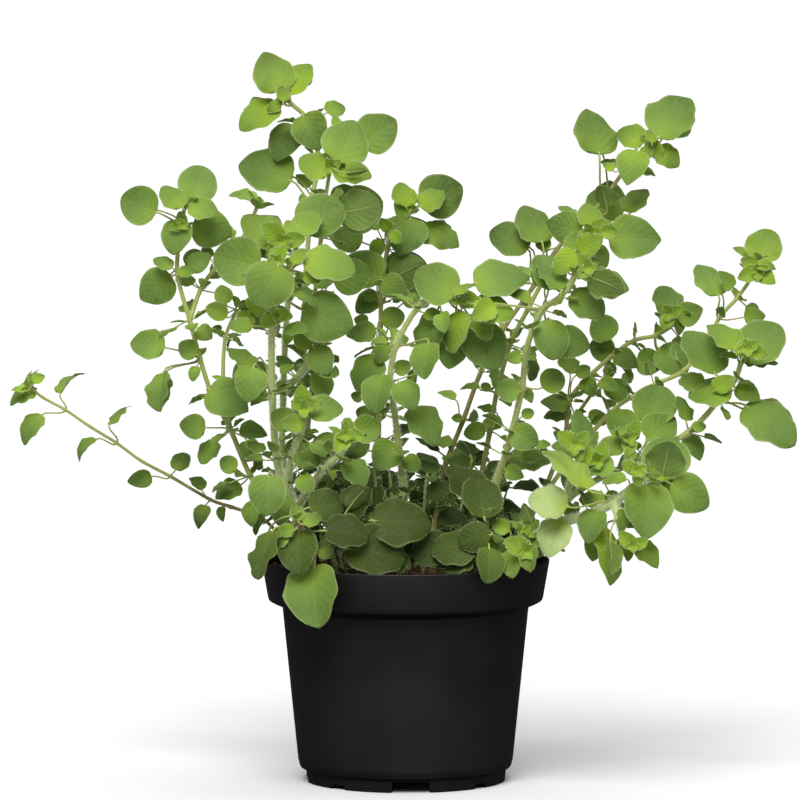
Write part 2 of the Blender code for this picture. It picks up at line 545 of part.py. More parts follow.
class Cover:
    """What is already in place, as trees of triangles, to tell whether a new leaf would cross it."""

    def __init__(self):
        self.items = []

    def add(self, owner, solid):
        points, faces = solid
        tree = BVHTree.FromPolygons(points.tolist(), faces)
        self.items.append((owner, points.min(0), points.max(0), tree))

    def crosses(self, solid, among):
        """True where the solid cuts one of the pieces whose owner `among` accepts."""
        points, faces = solid
        low, high = points.min(0), points.max(0)
        tree = BVHTree.FromPolygons(points.tolist(), faces)
        for owner, start, end, there in self.items:
            if among(owner) and (low < end).all() and (high > start).all() and tree.overlap(there):
                return True
        return False

    def fits(self, stem, socket, leaf):
        """True where a leaf raised from a socket stays clear of its own stem and of all the others."""
        root = stem.corners(socket)
        first = leaf_rows(leaf, BLADE, 0)[0][0]
        lifted = root[matched(root, first)] * (1 - LIFT) + first * LIFT
        wide = leaf_mesh(lifted, leaf, BLADE + 2 * CLEAR, CLEAR)
        close = leaf_mesh(lifted, leaf, BLADE + 2 * NEAR, NEAR)
        return not (self.crosses(wide, lambda owner: owner != stem.name)
                    or self.crosses(close, lambda owner: owner == stem.name)
                    or stem.tangled(*stem.leaf_on(socket, leaf)))

    def settle(self, stem, shoot, joint, make_leaf):
        """Raise a leaf at the smallest shift that keeps it clear of all else, or else a smaller leaf."""
        for size, slide in SIZES_AND_SLIDES:
            for shift in SHIFTS:
                leaf = make_leaf(shift, size, slide)
                for socket in stem.facing(shoot, joint, leaf.base + leaf.axis * leaf.length * AIM):
                    leaf = replace(leaf, root=stem.corners(socket).mean(0))
                    if self.fits(stem, socket, leaf):
                        points, faces = stem.leaf_on(socket, leaf)
                        stem.points += points
                        stem.faces += faces
                        stem.free[shoot, joint].remove(socket)
                        stem.leaves.append(leaf)
                        self.add(stem.name, leaf_mesh(stem.corners(socket), leaf))
                        return


def point_of(shoot, joint):
    """A joint's place in its shoot's line: a stem's first shoot has one more point, in the soil."""
    return joint + (shoot == 0)


def levels_needed(shoots):
    """The levels of faces at each point of each shoot, for the shoots and leaves that grow there."""
    counts = [[0] * (len(joints) + (2 if start is None else 1)) for start, joints, _ in shoots]
    for number, (start, _, rows) in enumerate(shoots):
        if start:
            counts[start[0]][point_of(*start)] += 1
        for row in rows:
            counts[number][point_of(number, row[0])] += 2 if row[4] >= BACK_LEAF_FROM else 1
    return [[math.ceil(count / LEAVES_PER_LEVEL) for count in line] for line in counts]


def stem_from_table(name, foot, radius, shoots):
    """A leafy stem with its shoots, and no leaves yet."""
    stem = LeafyStem(name, radius)
    for (start, joints, _), levels in zip(shoots, levels_needed(shoots)):
        places = [seen(*joint) for joint in joints]
        if start is None:
            ground = [np.array([*foot, SOIL_TOP - STEM_DEPTH]), np.array([*foot, SOIL_TOP + 3])]
            stem.add_shoot(np.array(ground + places), levels)
            continue
        parent, joint = start[0], point_of(*start)
        socket = stem.facing(parent, joint, places[0])[0]
        stem.free[parent, joint].remove(socket)
        stem.add_shoot(np.array([stem.lines[parent][joint]] + places), levels, socket)
    return stem


def back_shoot(bearing, rise):
    """A short shoot that leans out over the back of the rim, and its leaves' directions and sizes."""
    out = np.array([math.cos(math.radians(bearing)), math.sin(math.radians(bearing)), 0.0])
    aside = np.cross(UP, out)
    reaches = [(34, -STEM_DEPTH), (34, 3), (38, rise * 0.5), (46, rise * 0.8), (55, rise)]
    line = np.array([out * reach + UP * (SOIL_TOP + height) for reach, height in reaches])
    rows = [(joint, aside * hand * 0.85 + out * 0.45 - UP * 0.15, UP + out * 0.8, length, 4)
            for joint, length in ((2, 22), (3, 20)) for hand in (-1, 1)]
    rows += [(4, out * 0.75 - UP * 0.7, out + UP * 0.8, 21, 3),
             (4, UP * 0.7 + aside * 0.4, out + UP * 0.5, 14, 2),
             (4, UP * 0.2 - aside * 0.9, out + UP * 0.6, 16, 2)]
    return line, rows


def grow_plant():
    """Every leafy stem, with its shoots and leaves in place."""
    rng = np.random.default_rng(SEED)
    plant = [stem_from_table(*entry) for entry in STEMS]
    for number, (bearing, rise) in enumerate(BACK_SHOOTS, 1):
        stem = LeafyStem(f"shoot_back_{number}", BACK_RADIUS)
        stem.add_shoot(back_shoot(bearing, rise)[0], (0, 0, 1, 1, 1))
        plant.append(stem)
    cover = Cover()
    cover.add("pot", turned(guard_profile(), POT_SIDES))
    for stem in plant:
        cover.add(stem.name, stem.solid())
    for behind in (False, True):
        for (*_, shoots), stem in zip(STEMS, plant):
            for number, (_, _, rows) in enumerate(shoots):
                for row in rows:
                    arch = rng.uniform(*ARCH)
                    turn = rng.uniform(-BACK_LEAF_TURN, BACK_LEAF_TURN)
                    if behind and row[4] < BACK_LEAF_FROM:
                        continue
                    if behind:
                        joint, x, z, clock, length, width, push = row
                        row = (joint, x, z, clock + turn, length * BACK_LEAF_SIZE,
                               width * BACK_LEAF_SIZE, push + BACK_LEAF_DEPTH)
                    joint = point_of(number, row[0])
                    place = stem.lines[number][joint]
                    cover.settle(stem, number, joint, partial(leaf_as_seen, row, place, arch, behind))
    for (bearing, rise), stem in zip(BACK_SHOOTS, plant[len(STEMS):]):
        for joint, way, face, length, stalk in back_shoot(bearing, rise)[1]:
            arch = rng.uniform(*ARCH)
            way = unit(way) + rng.normal(0, 0.12, 3)
            length *= rng.uniform(0.85, 1.1)
            place = stem.lines[0][joint]
            cover.settle(stem, 0, joint, partial(free_leaf, place, way, face, length, stalk, arch))
    return plant


def turned(profile, sides):
    """A closed shape turned about Z from a profile whose two ends lie on the axis."""
    points, rings, faces = [], [], []
    for radius, height in profile:
        if radius == 0:
            rings.append([len(points)] * sides)
            points.append((0.0, 0.0, height))
            continue
        rings.append(range(len(points), len(points) + sides))
        turns = np.arange(sides) * 2 * math.pi / sides
        points += [(radius * math.cos(a), radius * math.sin(a), height) for a in turns]
    for low, high in zip(rings, rings[1:]):
        for k in range(sides):
            n = (k + 1) % sides
            faces.append(tuple(dict.fromkeys((low[k], low[n], high[n], high[k]))))
    return np.array(points), faces


def rounded(start, corner, end, count):
    """Points of a quadratic curve that rounds off a corner."""
    start, corner, end = np.array(start), np.array(corner), np.array(end)
    return [tuple((1 - t) ** 2 * start + 2 * t * (1 - t) * corner + t * t * end)
            for t in np.linspace(0, 1, count)]


def inner_radius(height):
    """The radius of the pot's inner side at a height."""
    radii, heights = zip(WALL_FOOT, WALL_HEAD, BAND_FOOT, (RIM_RADIUS, POT_HEIGHT))
    return float(np.interp(height, heights, radii)) - WALL


def guard_profile():
    """The rim band with the soil inside it, which leaves must stay clear of."""
    low, top = BAND_FOOT[1] - 6, SOIL_TOP + SOIL_SWELL
    return [(0, low), (BAND_FOOT[0] - 5, low), BAND_FOOT, (RIM_RADIUS, POT_HEIGHT),
            (RIM_RADIUS - WALL, POT_HEIGHT), (RIM_RADIUS - WALL, top), (0, top)]


def pot_profile():
    """The pot's section from the middle of its floor's underside, out, up and back down inside."""
    under, floor = FLOOR
    ring = FOOT_RADIUS - FOOT_WIDTH
    radius, height = BAND_FOOT
    outside = [(0, under), (ring, under), (ring, 0), (FOOT_RADIUS, 0), (FOOT_RADIUS + 0.6, FOOT_HEIGHT),
               (WALL_FOOT[0] - 0.9, FOOT_HEIGHT + 0.7), WALL_FOOT, WALL_HEAD]
    outside += rounded((radius - 2.6, height - 3.3), (radius - 0.3, height - 2.4), BAND_FOOT, 4)
    outside += [(RIM_RADIUS, POT_HEIGHT - 0.7), (RIM_RADIUS - 0.6, POT_HEIGHT)]
    inside = [(RIM_RADIUS - WALL, POT_HEIGHT)]
    inside += [(inner_radius(z), z) for z in (BAND_FOOT[1], WALL_HEAD[1], WALL_FOOT[1])]
    inside += [(inner_radius(WALL_FOOT[1]) - 1.5, floor), (0, floor)]
    return outside + inside


def soil_height(x, y):
    """The uneven top of the soil."""
    waves = np.sin(x / 9 + 0.7) * np.cos(y / 11) + 0.6 * np.sin((x + y) / 6 + 2)
    return SOIL_TOP + 0.6 * SOIL_SWELL * waves


def soil_solid():
    """The soil: the pot's inside, less a gap, with an uneven top."""
    floor = FLOOR[1] + SOIL_GAP
    side = [(inner_radius(z) - SOIL_INSET, z) for z in (WALL_FOOT[1], WALL_HEAD[1], BAND_FOOT[1])]
    edge = inner_radius(SOIL_TOP) - SOIL_INSET
    top = [(edge * share, SOIL_TOP) for share in SOIL_RINGS]
    points, faces = turned([(0, floor), (side[0][0] - 1.6, floor)] + side + top, SOIL_SIDES)
    on_top = points[:, 2] == SOIL_TOP
    points[on_top, 2] = soil_height(points[on_top, 0], points[on_top, 1])
    return points, faces


def new_object(name, solid, material=None):
    """A mesh object with its faces turned outwards, from points in millimetres and faces."""
    points, faces = solid
    mesh = bpy.data.meshes.new(name)
    mesh.from_pydata((np.asarray(points) * MM).tolist(), [], faces)
    shape = bmesh.new()
    shape.from_mesh(mesh)
    bmesh.ops.recalc_face_normals(shape, faces=shape.faces)
    shape.to_mesh(mesh)
    shape.free()
    if material:
        mesh.materials.append(material)
    made = bpy.data.objects.new(name, mesh)
    bpy.context.scene.collection.objects.link(made)
    return made


def principled(name, colour, roughness):
    material = bpy.data.materials.new(name)
    material.use_nodes = True
    shader = material.node_tree.nodes["Principled BSDF"]
    shader.inputs["Base Color"].default_value = (*colour, 1)
    shader.inputs["Roughness"].default_value = roughness
    shader.inputs["Metallic"].default_value = 0.0
    return material


def cut_out(body, tools):
    """Cut the tools out of the body in one Boolean, and remove them."""
    group = bpy.data.collections.new(body.name + "_tools")
    bpy.context.scene.collection.children.link(group)
    for tool in tools:
        group.objects.link(tool)
        bpy.context.scene.collection.objects.unlink(tool)
    step = body.modifiers.new("cut", "BOOLEAN")
    step.operation = "DIFFERENCE"
    step.operand_type = "COLLECTION"
    step.collection = group
    step.solver = "EXACT"
    made = body.evaluated_get(bpy.context.evaluated_depsgraph_get())
    mesh = bpy.data.meshes.new_from_object(made)
    body.modifiers.clear()
    old, body.data = body.data, mesh
    bpy.data.meshes.remove(old)
    for tool in tools:
        bpy.data.objects.remove(tool)
    bpy.data.collections.remove(group)


def notch(bearing, width, height):
    """A cutter for a notch in the foot ring, with its upper corners rounded."""
    half = math.radians(width / 2)
    arch = [(-half, -1), (half, -1), (half, height * 0.6), (half * 0.9, height * 0.88),
            (half * 0.65, height), (-half * 0.65, height), (-half * 0.9, height * 0.88),
            (-half, height * 0.6)]
    points = []
    for radius in (FOOT_RADIUS - FOOT_WIDTH - 2, FOOT_RADIUS + 3):
        for turn, z in arch:
            angle = math.radians(bearing) + turn
            points.append((radius * math.cos(angle), radius * math.sin(angle), z))
    count = len(arch)
    faces = [tuple(range(count)), tuple(range(count, 2 * count))]
    for k in range(count):
        n = (k + 1) % count
        faces.append((k, n, n + count, k + count))
    return new_object("notch", (points, faces))


def rod(x, y, low, high, radius, sides):
    """A cutter for a hole along Z."""
    points, faces = turned([(0, low), (radius, low), (radius, high), (0, high)], sides)
    return new_object("rod", (points + (x, y, 0), faces))


def build_pot():
    pot = new_object("pot", turned(pot_profile(), POT_SIDES), principled("pot", (0.02, 0.02, 0.022), 0.45))
    cuts = []
    for quarter in range(4):
        bearing = 90 * quarter + NOTCH_TURN
        cuts.append(notch(bearing, *WIDE_NOTCH))
        cuts.append(notch(bearing + 45, *LOW_NOTCH))
    for number in range(DRAIN_HOLES):
        turn = 2 * math.pi * number / DRAIN_HOLES
        x, y = DRAIN_RING * math.cos(turn), DRAIN_RING * math.sin(turn)
        cuts.append(rod(x, y, FLOOR[0] - 1, FLOOR[1] + 1, DRAIN_RADIUS, 8))
    cut_out(pot, cuts)


def build_soil(plant):
    soil = new_object("soil", soil_solid(), principled("soil", (0.09, 0.045, 0.025), 0.95))
    holes = []
    for stem in plant:
        x, y, low = stem.lines[0][0]
        wide = (stem.radius + SOIL_GAP) / math.cos(math.pi / HOLE_SIDES)
        holes.append(rod(x, y, low - SOIL_GAP, SOIL_TOP + 6, wide, HOLE_SIDES))
    cut_out(soil, holes)


def main():
    for old in list(bpy.data.objects):
        bpy.data.objects.remove(old)
    plant = grow_plant()
    build_pot()
    build_soil(plant)
    for stem in plant:
        new_object(stem.name, stem.solid(), principled(stem.name, (0.16, 0.3, 0.07), 0.6))


if __name__ == "__main__":
    main()
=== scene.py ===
# %% [markdown]
# # A potted oregano
# A young oregano as a garden centre sells it: hairy stems with pairs of small rounded leaves, in a
# thin black plastic pot full of peat. The CAD frame already holds every stem with its leaves as
# plain faceted solids. This scene replaces them one for one with finer surfaces of the same form,
# and gives them their veins, down, stalks and colours.

# %% Load the frame, and bake each CAD part's place into its mesh
import math
from dataclasses import dataclass, replace
from functools import partial

import bpy
import numpy as np
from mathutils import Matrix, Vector
from mathutils.bvhtree import BVHTree


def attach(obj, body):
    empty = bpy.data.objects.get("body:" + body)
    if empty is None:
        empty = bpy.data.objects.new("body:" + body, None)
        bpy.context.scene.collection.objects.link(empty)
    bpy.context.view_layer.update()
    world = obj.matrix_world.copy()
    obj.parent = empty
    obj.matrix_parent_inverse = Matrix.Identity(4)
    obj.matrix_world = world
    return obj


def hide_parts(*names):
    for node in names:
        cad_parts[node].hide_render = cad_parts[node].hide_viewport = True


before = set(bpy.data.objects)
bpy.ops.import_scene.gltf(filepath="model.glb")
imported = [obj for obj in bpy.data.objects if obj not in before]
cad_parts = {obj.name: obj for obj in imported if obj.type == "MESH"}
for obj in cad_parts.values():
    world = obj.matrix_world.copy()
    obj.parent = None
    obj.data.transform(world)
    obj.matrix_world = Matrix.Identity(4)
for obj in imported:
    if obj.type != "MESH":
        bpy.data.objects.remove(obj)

MM = 0.001
UP = np.array([0.0, 0.0, 1.0])
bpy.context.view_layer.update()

# %% [markdown]
# ## Where the picture is taken from
# The plant was photographed from far off with a long lens, a little above its leaves, so it hardly
# tapers with distance. The camera stands three metres in front of the pot and looks slightly down.

# %% The camera
EYE = np.array([-2.5, -3000.0, 429.0])
AIM_AT = Vector((-2.5, 0.0, 172.0)) * MM
LENS = 301.1
SENSOR = 36.0

lens = bpy.data.cameras.new("picture_camera")
lens.lens = LENS
lens.sensor_width = SENSOR
lens.clip_end = 100.0
camera = bpy.data.objects.new("picture_camera", lens)
camera.location = Vector(EYE) * MM
camera.rotation_euler = (AIM_AT - camera.location).to_track_quat("-Z", "Y").to_euler()
bpy.context.scene.collection.objects.link(camera)
bpy.context.scene.camera = camera
print("camera at", tuple(round(c, 3) for c in camera.location))

# %% [markdown]
# ## How the plant is laid out
# The plant is described as a grower would: which stems leave the soil, how each one runs, and which
# leaves sit at each of its joints. The same tables and the same rules shaped the CAD solids, so each
# leaf here stands just where its solid stands. A leaf is moved along the line of sight until it is
# clear of the others, which doesn't change where it is seen.

# %% The tables, in millimetres
POT_HEIGHT = 100.0
RIM_RADIUS = 65.0
BAND_FOOT = (62.3, 84.2)
WALL = 1.3
SOIL_TOP = 95.0
SOIL_SWELL = 1.5

# Each leafy stem has its name, where it leaves the soil (x, depth), its radius there and its
# shoots. A shoot has the shoot and joint that it grows from, the joints along it (x, z, depth) and
# its leaves. A leaf has the joint it grows from, the x and z of its middle, the clock angle of its
# tip in degrees, its length and width as seen, and how far it stands behind its joint.
STEMS = [
    ("stem_left_trailing", (-50, 17), 1.3, [
        (None, [(-54, 107, 18), (-64, 118, 18), (-78, 123.5, 17), (-88, 127, 17),
                (-106, 137.5, 17), (-119, 144.5, 15), (-130, 152.5, 13), (-142, 160, 11),
                (-153, 167.5, 9), (-163, 173, 7), (-168, 177, 6)], [
            (3, -83, 121, 190, 6, 4, 3), (4, -94, 135, 330, 9, 6, -4), (4, -92, 120, 205, 10, 7, -4),
            (5, -101, 145, 30, 11, 8, -3), (5, -119.5, 136, 255, 11, 8, 3),
            (7, -130, 166.5, 30, 13, 4, -2), (7, -144, 151, 236, 12, 4, 2),
            (9, -152, 181, 30, 14, 4, 3), (9, -169, 161, 231, 14, 8, -3),
            (11, -172.5, 175.5, 255, 13, 7, 2), (11, -168, 182.5, 5, 9, 4, 3),
            (11, -165, 182, 40, 7, 5, -3), (11, -174, 177, 285, 7, 3, -3)]),
    ]),
    ("stem_left", (-42, -10), 1.4, [
        (None, [(-47, 110, -10), (-60, 124, -10), (-70, 138, -11), (-79, 159, -12),
                (-87, 174, -12), (-92.5, 191, -12), (-97, 208, -12), (-102.5, 229, -12),
                (-101, 250, -13), (-99, 259, -14)], [
            (9, -120, 260, 292, 18, 17, 2), (10, -93, 270, 20, 18, 17, 3),
            (10, -104.5, 264, 320, 14, 10, -3), (10, -91, 258, 95, 14, 10, -3),
            (9, -103, 246, 195, 15, 13, -5), (9, -87, 249, 105, 18, 17, 3),
            (8, -109, 234, 300, 10, 6, -2), (8, -112, 223, 235, 17, 16, 2),
            (8, -98, 230, 70, 9, 5, -4), (8, -95, 236, 50, 10, 8, 3),
            (6, -116, 197, 280, 16, 13, 4), (6, -98, 195, 300, 10, 9, -4),
            (7, -90.5, 202, 130, 8, 8, -2), (6, -110.5, 176, 190, 17, 9, 3),
            (6, -95, 184, 200, 7, 5, -3), (4, -96, 160, 275, 12, 11, -2),
            (4, -89, 149, 225, 12, 8, 3), (3, -80, 143, 300, 9, 8, -3),
            (5, -80, 172, 120, 20, 17, 6), (3, -80, 131, 245, 13, 9, 2),
            (4, -68.5, 157.5, 95, 13, 8, 4), (4, -70, 149.5, 160, 9, 9, 2),
            (2, -70, 121, 188, 11, 8, -3), (2, -65, 118, 214, 11, 4, 2)]),
        ((0, 7), [(-92, 222, -8), (-85, 232, -6), (-74, 244, -4), (-67, 258, -3)], [
            (4, -73, 263.5, 288, 13, 5, 0), (3, -80, 249, 340, 9, 5, 2)]),
        ((0, 4), [(-82, 180, -17), (-81, 200, -18), (-76, 212, -18)], [
            (3, -67, 210.5, 100, 15, 11, -2), (3, -85, 212, 300, 11, 8, -2),
            (3, -84, 214, 325, 7, 5, 2), (3, -82, 220, 345, 10, 8, 3)]),
    ]),
    ("stem_hairy_pair", (-47, -25), 1.6, [
        (None, [(-48.5, 110, -25), (-50, 122, -26), (-54, 133, -28), (-58, 145, -30),
                (-60, 175, -33), (-60, 205, -36), (-57, 222, -38), (-54, 231, -39)], [
            (8, -76, 235, 285, 22, 21, 0), (7, -61.5, 224, 205, 20, 21, -5),
            (8, -58, 237, 330, 9, 7, -4), (6, -57, 211, 30, 9, 7, -4),
            (8, -34, 234, 98, 24, 14, -2), (8, -42, 227, 120, 8, 6, -4),
            (7, -35, 209, 108, 24, 22, 0), (5, -69.5, 181.5, 190, 21, 20, -4),
            (5, -74.5, 191.5, 318, 15, 8, -6), (3, -62.5, 131, 185, 17, 16, -5),
            (2, -56, 122, 190, 13, 10, -5), (8, -48, 237, 30, 9, 6, -3)]),
        ((0, 2), [(-53, 138, -21), (-55.5, 150, -18), (-55, 175, -16), (-54, 200, -15),
                  (-52, 225, -14), (-50, 237, -14), (-48, 245, -14)], [
            (7, -63.5, 250.5, 312, 22, 15, -2), (7, -45, 252, 45, 16, 11, -4),
            (7, -38, 256, 60, 23, 19, 2), (7, -52, 250, 345, 8, 6, -4)]),
        ((0, 3), [(-51, 146, -35), (-48, 156, -38), (-46.5, 164, -40)], [
            (3, -55.5, 163.5, 300, 12, 11, 2), (3, -51, 161.5, 270, 11, 8, -4),
            (3, -48, 170, 340, 9, 7, -2), (3, -36, 168, 75, 16, 12, 2),
            (1, -44, 146, 120, 12, 11, -3), (1, -45, 134, 150, 9, 8, -4)]),
        ((0, 2), [(-44, 131, -36), (-37, 141, -41), (-30, 147, -43), (-26, 155, -44)], [
            (4, -17, 159, 80, 13, 12, 0), (4, -31, 157, 320, 10, 4, -3),
            (4, -26, 161, 0, 8, 6, -3), (4, -36, 153, 290, 12, 9, 4),
            (3, -22, 139, 150, 14, 11, -3)]),
        ((1, 3), [(-49, 182, -22), (-43, 189, -25), (-40, 196, -27)], [
            (2, -38, 190, 150, 13, 12, -3), (3, -46, 199, 325, 10, 8, -2),
            (2, -37.7, 178.5, 170, 12, 10, 3)]),
    ]),
    ("stem_tallest", (-43, 8), 1.5, [
        (None, [(-44, 115, 10), (-45, 150, 18), (-45.5, 185, 28), (-45, 225, 38),
                (-42, 262, 46), (-39, 280, 50), (-43, 297, 52), (-52, 306, 52)], [
            (8, -60, 320, 335, 21, 18, 2), (8, -48, 317, 25, 18, 13, -2),
            (8, -66, 300.5, 248, 21, 12, -2), (8, -55, 310, 0, 8, 6, -4),
            (8, -59, 304, 250, 7, 5, -5), (7, -42, 293, 150, 17, 16, -2),
            (7, -54, 288, 215, 18, 14, 1), (5, -63, 275, 290, 26, 20, 3),
            (6, -46, 271, 320, 9, 6, -4), (6, -41, 272, 30, 7, 5, -4)]),
        ((0, 2), [(-42, 180, 14), (-41, 215, 12), (-38, 245, 12), (-36, 262, 12), (-34, 275, 12)], [
            (5, -26, 289, 25, 22, 21, 0), (5, -41, 277.5, 300, 16, 12, -3),
            (5, -24, 275, 90, 18, 11, -4), (5, -12, 293, 55, 21, 18, 6),
            (5, -31, 297, 350, 7, 5, 5), (5, -14.5, 281, 90, 12, 7, 5), (4, -20, 258, 75, 22, 21, 3),
            (4, -27, 264, 45, 13, 11, 8), (2, -24, 228, 75, 18, 16, 4)]),
    ]),
    ("stem_centre_back", (-13, 18), 1.4, [
        (None, [(-12.5, 115, 22), (-12, 140, 30), (-12, 165, 38), (-11, 197, 46),
                (-11, 216, 50), (-8, 240, 54), (1, 255, 56)], [
            (7, -0.6, 265.2, 352, 13, 11, -2), (7, 16.5, 264.5, 65, 21, 20, 3),
            (7, 12, 262.8, 58, 14, 10, -4), (7, 16, 246.5, 122, 19, 12, 0),
            (7, 0, 246, 195, 17, 19, -3), (6, -26.5, 245, 285, 15, 12, 0),
            (6, -7, 251, 30, 8, 6, -4), (6, -13, 240, 200, 9, 7, -4),
            (6, -14, 252, 335, 8, 6, -2), (5, -19, 232, 300, 20, 17, -1),
            (5, 0, 230, 75, 22, 19, 2), (5, -5, 223, 120, 13, 11, -4),
            (5, -17, 216, 245, 13, 10, -4), (4, -20, 208, 290, 7, 6, 3),
            (4, -5.5, 209, 80, 11, 10, -3), (4, 3, 218, 60, 10, 8, 4),
            (4, -20, 203, 270, 14, 9, 4), (4, -10, 193, 200, 10, 9, 3),
            (4, -17.5, 186, 200, 18, 14, 4), (3, -22, 173.5, 285, 6, 5, 2),
            (3, -18, 165.5, 290, 10, 8, 3)]),
    ]),
    ("stem_centre", (0, -12), 1.6, [
        (None, [(-0.5, 112, -15), (-0.5, 128, -19), (-3, 150, -23), (-5, 167, -27),
                (-7, 181, -30), (-4, 197, -33), (5, 213, -36), (15, 218, -38), (22, 217, -39)], [
            (9, 13, 225, 300, 22, 18, 2), (9, 43, 227.5, 77, 25, 16, 2),
            (9, 40, 214.3, 97, 19, 12, -4), (8, 10, 203, 205, 21, 13, 2),
            (9, 21.5, 203, 187, 18, 11, -4), (9, 33, 205, 140, 14, 9, -3),
            (9, 36, 197, 150, 22, 19, 4), (9, 26, 222.5, 48, 9, 4, -4),
            (9, 20.5, 194, 190, 14, 14, 6),
            (5, -12.5, 175.2, 195, 17, 13, -3), (5, 0.5, 174, 150, 14, 12, -5),
            (5, -1, 187, 60, 9, 7, 3), (5, 3, 184, 15, 13, 5, -3), (5, 10, 179, 95, 12, 7, 2),
            (4, 9, 161, 148, 19, 14, -4), (6, 9, 190, 190, 16, 12, 3),
            (3, -9, 147, 215, 14, 14, -4), (3, 3, 143, 130, 9, 8, -3)]),
    ]),
    ("stem_brown", (10, 24), 1.4, [
        (None, [(10.5, 113, 26), (15, 133, 28), (20, 148, 30), (26, 163, 31), (34, 185, 32),
                (44, 204, 33), (58, 224, 34), (68, 240, 34), (80, 252, 34), (90, 264, 34),
                (98, 275, 34), (108, 286, 34)], [
            (7, 46.5, 244.5, 292, 20, 15, 2), (7, 57.5, 252, 337, 20, 15, -3),
            (8, 62, 243, 10, 8, 7, -5), (10, 85, 293.5, 350, 23, 18, 2),
            (12, 120.5, 299.8, 36, 25, 20, 1), (12, 101, 291, 295, 14, 11, -1),
            (12, 118, 282, 130, 13, 10, -2), (11, 101.5, 276.8, 198, 16, 14, -4),
            (12, 108, 283, 190, 7, 6, -5), (12, 110, 291, 350, 7, 5, -4),
            (9, 90, 262, 5, 21, 18, -4), (9, 102.5, 260, 25, 17, 12, 4),
            (11, 91, 277, 310, 6, 4, -3), (4, 18.5, 174.5, 300, 9, 4, 1),
            (3, 16, 153, 275, 12, 5, 2), (4, 23, 164, 275, 5, 4, -3),
            (2, 29, 145.8, 80, 18, 9, 3)]),
    ]),
    ("stem_right_inner", (25, 8), 1.4, [
        (None, [(28, 115, 7), (34, 138, 6), (38, 158, 5), (41, 175, 4), (47, 197, 3),
                (55, 213, 2), (62, 226, 1), (72, 240, 0), (84, 248, -1)], [
            (9, 83, 256, 355, 13, 11, -3), (9, 103, 244.8, 90, 24, 19, 2),
            (9, 71, 250, 283, 17, 15, 1), (9, 87, 237, 150, 11, 9, 1),
            (9, 91, 248, 80, 8, 6, -4), (9, 80, 245, 230, 7, 5, -4),
            (3, 36.5, 168, 290, 9, 4, 2), (3, 31, 158, 260, 10, 8, -2),
            (3, 37, 160, 30, 8, 5, -3), (4, 41.5, 182, 350, 11, 8, 4),
            (4, 29, 178, 275, 9, 3, 2), (4, 36, 178, 300, 5, 4, -2),
            (1, 42, 141, 35, 17, 10, 3), (2, 25, 144, 290, 13, 9, 3)]),
    ]),
    ("stem_hairy_right", (36, -14), 1.6, [
        (None, [(37, 112, -18), (40, 133, -22), (45, 147, -25), (48, 158, -28), (52.5, 178, -32),
                (54, 193, -35), (57, 203, -37), (62, 213, -39), (70, 219, -41), (76, 228, -42),
                (78, 234, -42)], [
            (8, 63.3, 230.5, 355, 18, 15, 2), (8, 65, 228, 325, 16, 9, -3),
            (11, 77, 241, 350, 15, 11, 0),
            (7, 66, 200, 172, 17, 15, -4), (8, 75, 198, 105, 16, 14, 2),
            (10, 91, 225, 95, 19, 13, -2), (10, 82, 216, 120, 17, 13, 3),
            (11, 81, 228, 95, 13, 5, -5), (11, 83, 234, 70, 9, 5, -2),
            (6, 57.3, 187.3, 168, 12, 6, 3), (5, 46, 176.5, 275, 11, 10, -3),
            (5, 66.3, 181, 55, 12, 11, 2), (4, 53.5, 155, 120, 13, 12, -5),
            (4, 62, 151.6, 80, 7, 4, 4),
            (4, 55, 166, 60, 6, 5, 1), (5, 55, 174, 150, 7, 5, 3),
            (3, 49, 139, 110, 9, 7, -2), (2, 56, 146, 90, 20, 10, 6), (7, 49, 191, 250, 7, 6, -3)]),
    ]),
    ("stem_right_back", (48, 20), 1.4, [
        (None, [(53, 112, 24), (62, 130, 28), (68, 145, 32), (72, 156, 34), (74, 172, 37),
                (83, 183, 39), (94, 193, 41), (103, 199, 42), (112, 201, 43), (119, 205, 43),
                (123, 210, 43)], [
            (7, 88.5, 205, 325, 14, 13, -2), (7, 88, 195, 285, 12, 11, 3),
            (7, 99, 190, 110, 12, 9, -3), (7, 92, 187, 180, 8, 5, -4),
            (7, 110, 189, 100, 13, 12, 2), (9, 120, 190, 130, 17, 14, -3),
            (11, 117, 217, 345, 16, 13, 2), (11, 128, 211, 70, 13, 11, 0),
            (11, 116, 209, 320, 10, 4, -4), (11, 121, 211, 0, 8, 5, -5),
            (11, 123, 205, 170, 7, 5, -3), (5, 67.5, 171.5, 280, 14, 8, -2),
            (5, 68.5, 165.5, 275, 13, 7, 1),
            (5, 73, 190, 350, 13, 9, 2), (5, 80, 185, 60, 8, 6, -3),
            (6, 82.5, 178, 150, 9, 8, -3)]),
        ((0, 4), [(77, 165, 37), (84, 175, 40), (89, 182, 41)], [
            (3, 95, 176, 140, 12, 10, -1), (3, 100, 182, 80, 6, 5, 1), (1, 86, 165, 80, 8, 6, 2)]),
    ]),
    ("stem_right_far", (43, 2), 1.4, [
        (None, [(50, 110, 4), (62, 128, 6), (76, 148, 8), (92, 166, 9), (101, 173, 10),
                (112, 179, 11), (124, 184.5, 12), (134, 195, 12), (141, 209, 12),
                (149, 218, 12), (156, 228, 12), (158, 233, 12)], [
            (12, 161, 242, 20, 17, 16, 1), (12, 162, 232, 100, 9, 5, -4),
            (12, 154, 234, 290, 8, 6, -4), (12, 151, 239, 310, 9, 4, 0),
            (9, 136.3, 226.8, 330, 18, 12, 1), (9, 157, 210, 82, 10, 8, 0),
            (4, 98, 160, 170, 16, 14, 3), (4, 87, 163, 250, 8, 6, 2),
            (3, 75.5, 136, 200, 13, 10, 3)]),
    ]),
    ("stem_right_arched", (50, -14), 1.6, [
        (None, [(57, 108, -17), (72, 126, -21), (88, 137, -24), (99, 142, -26), (107, 146, -27),
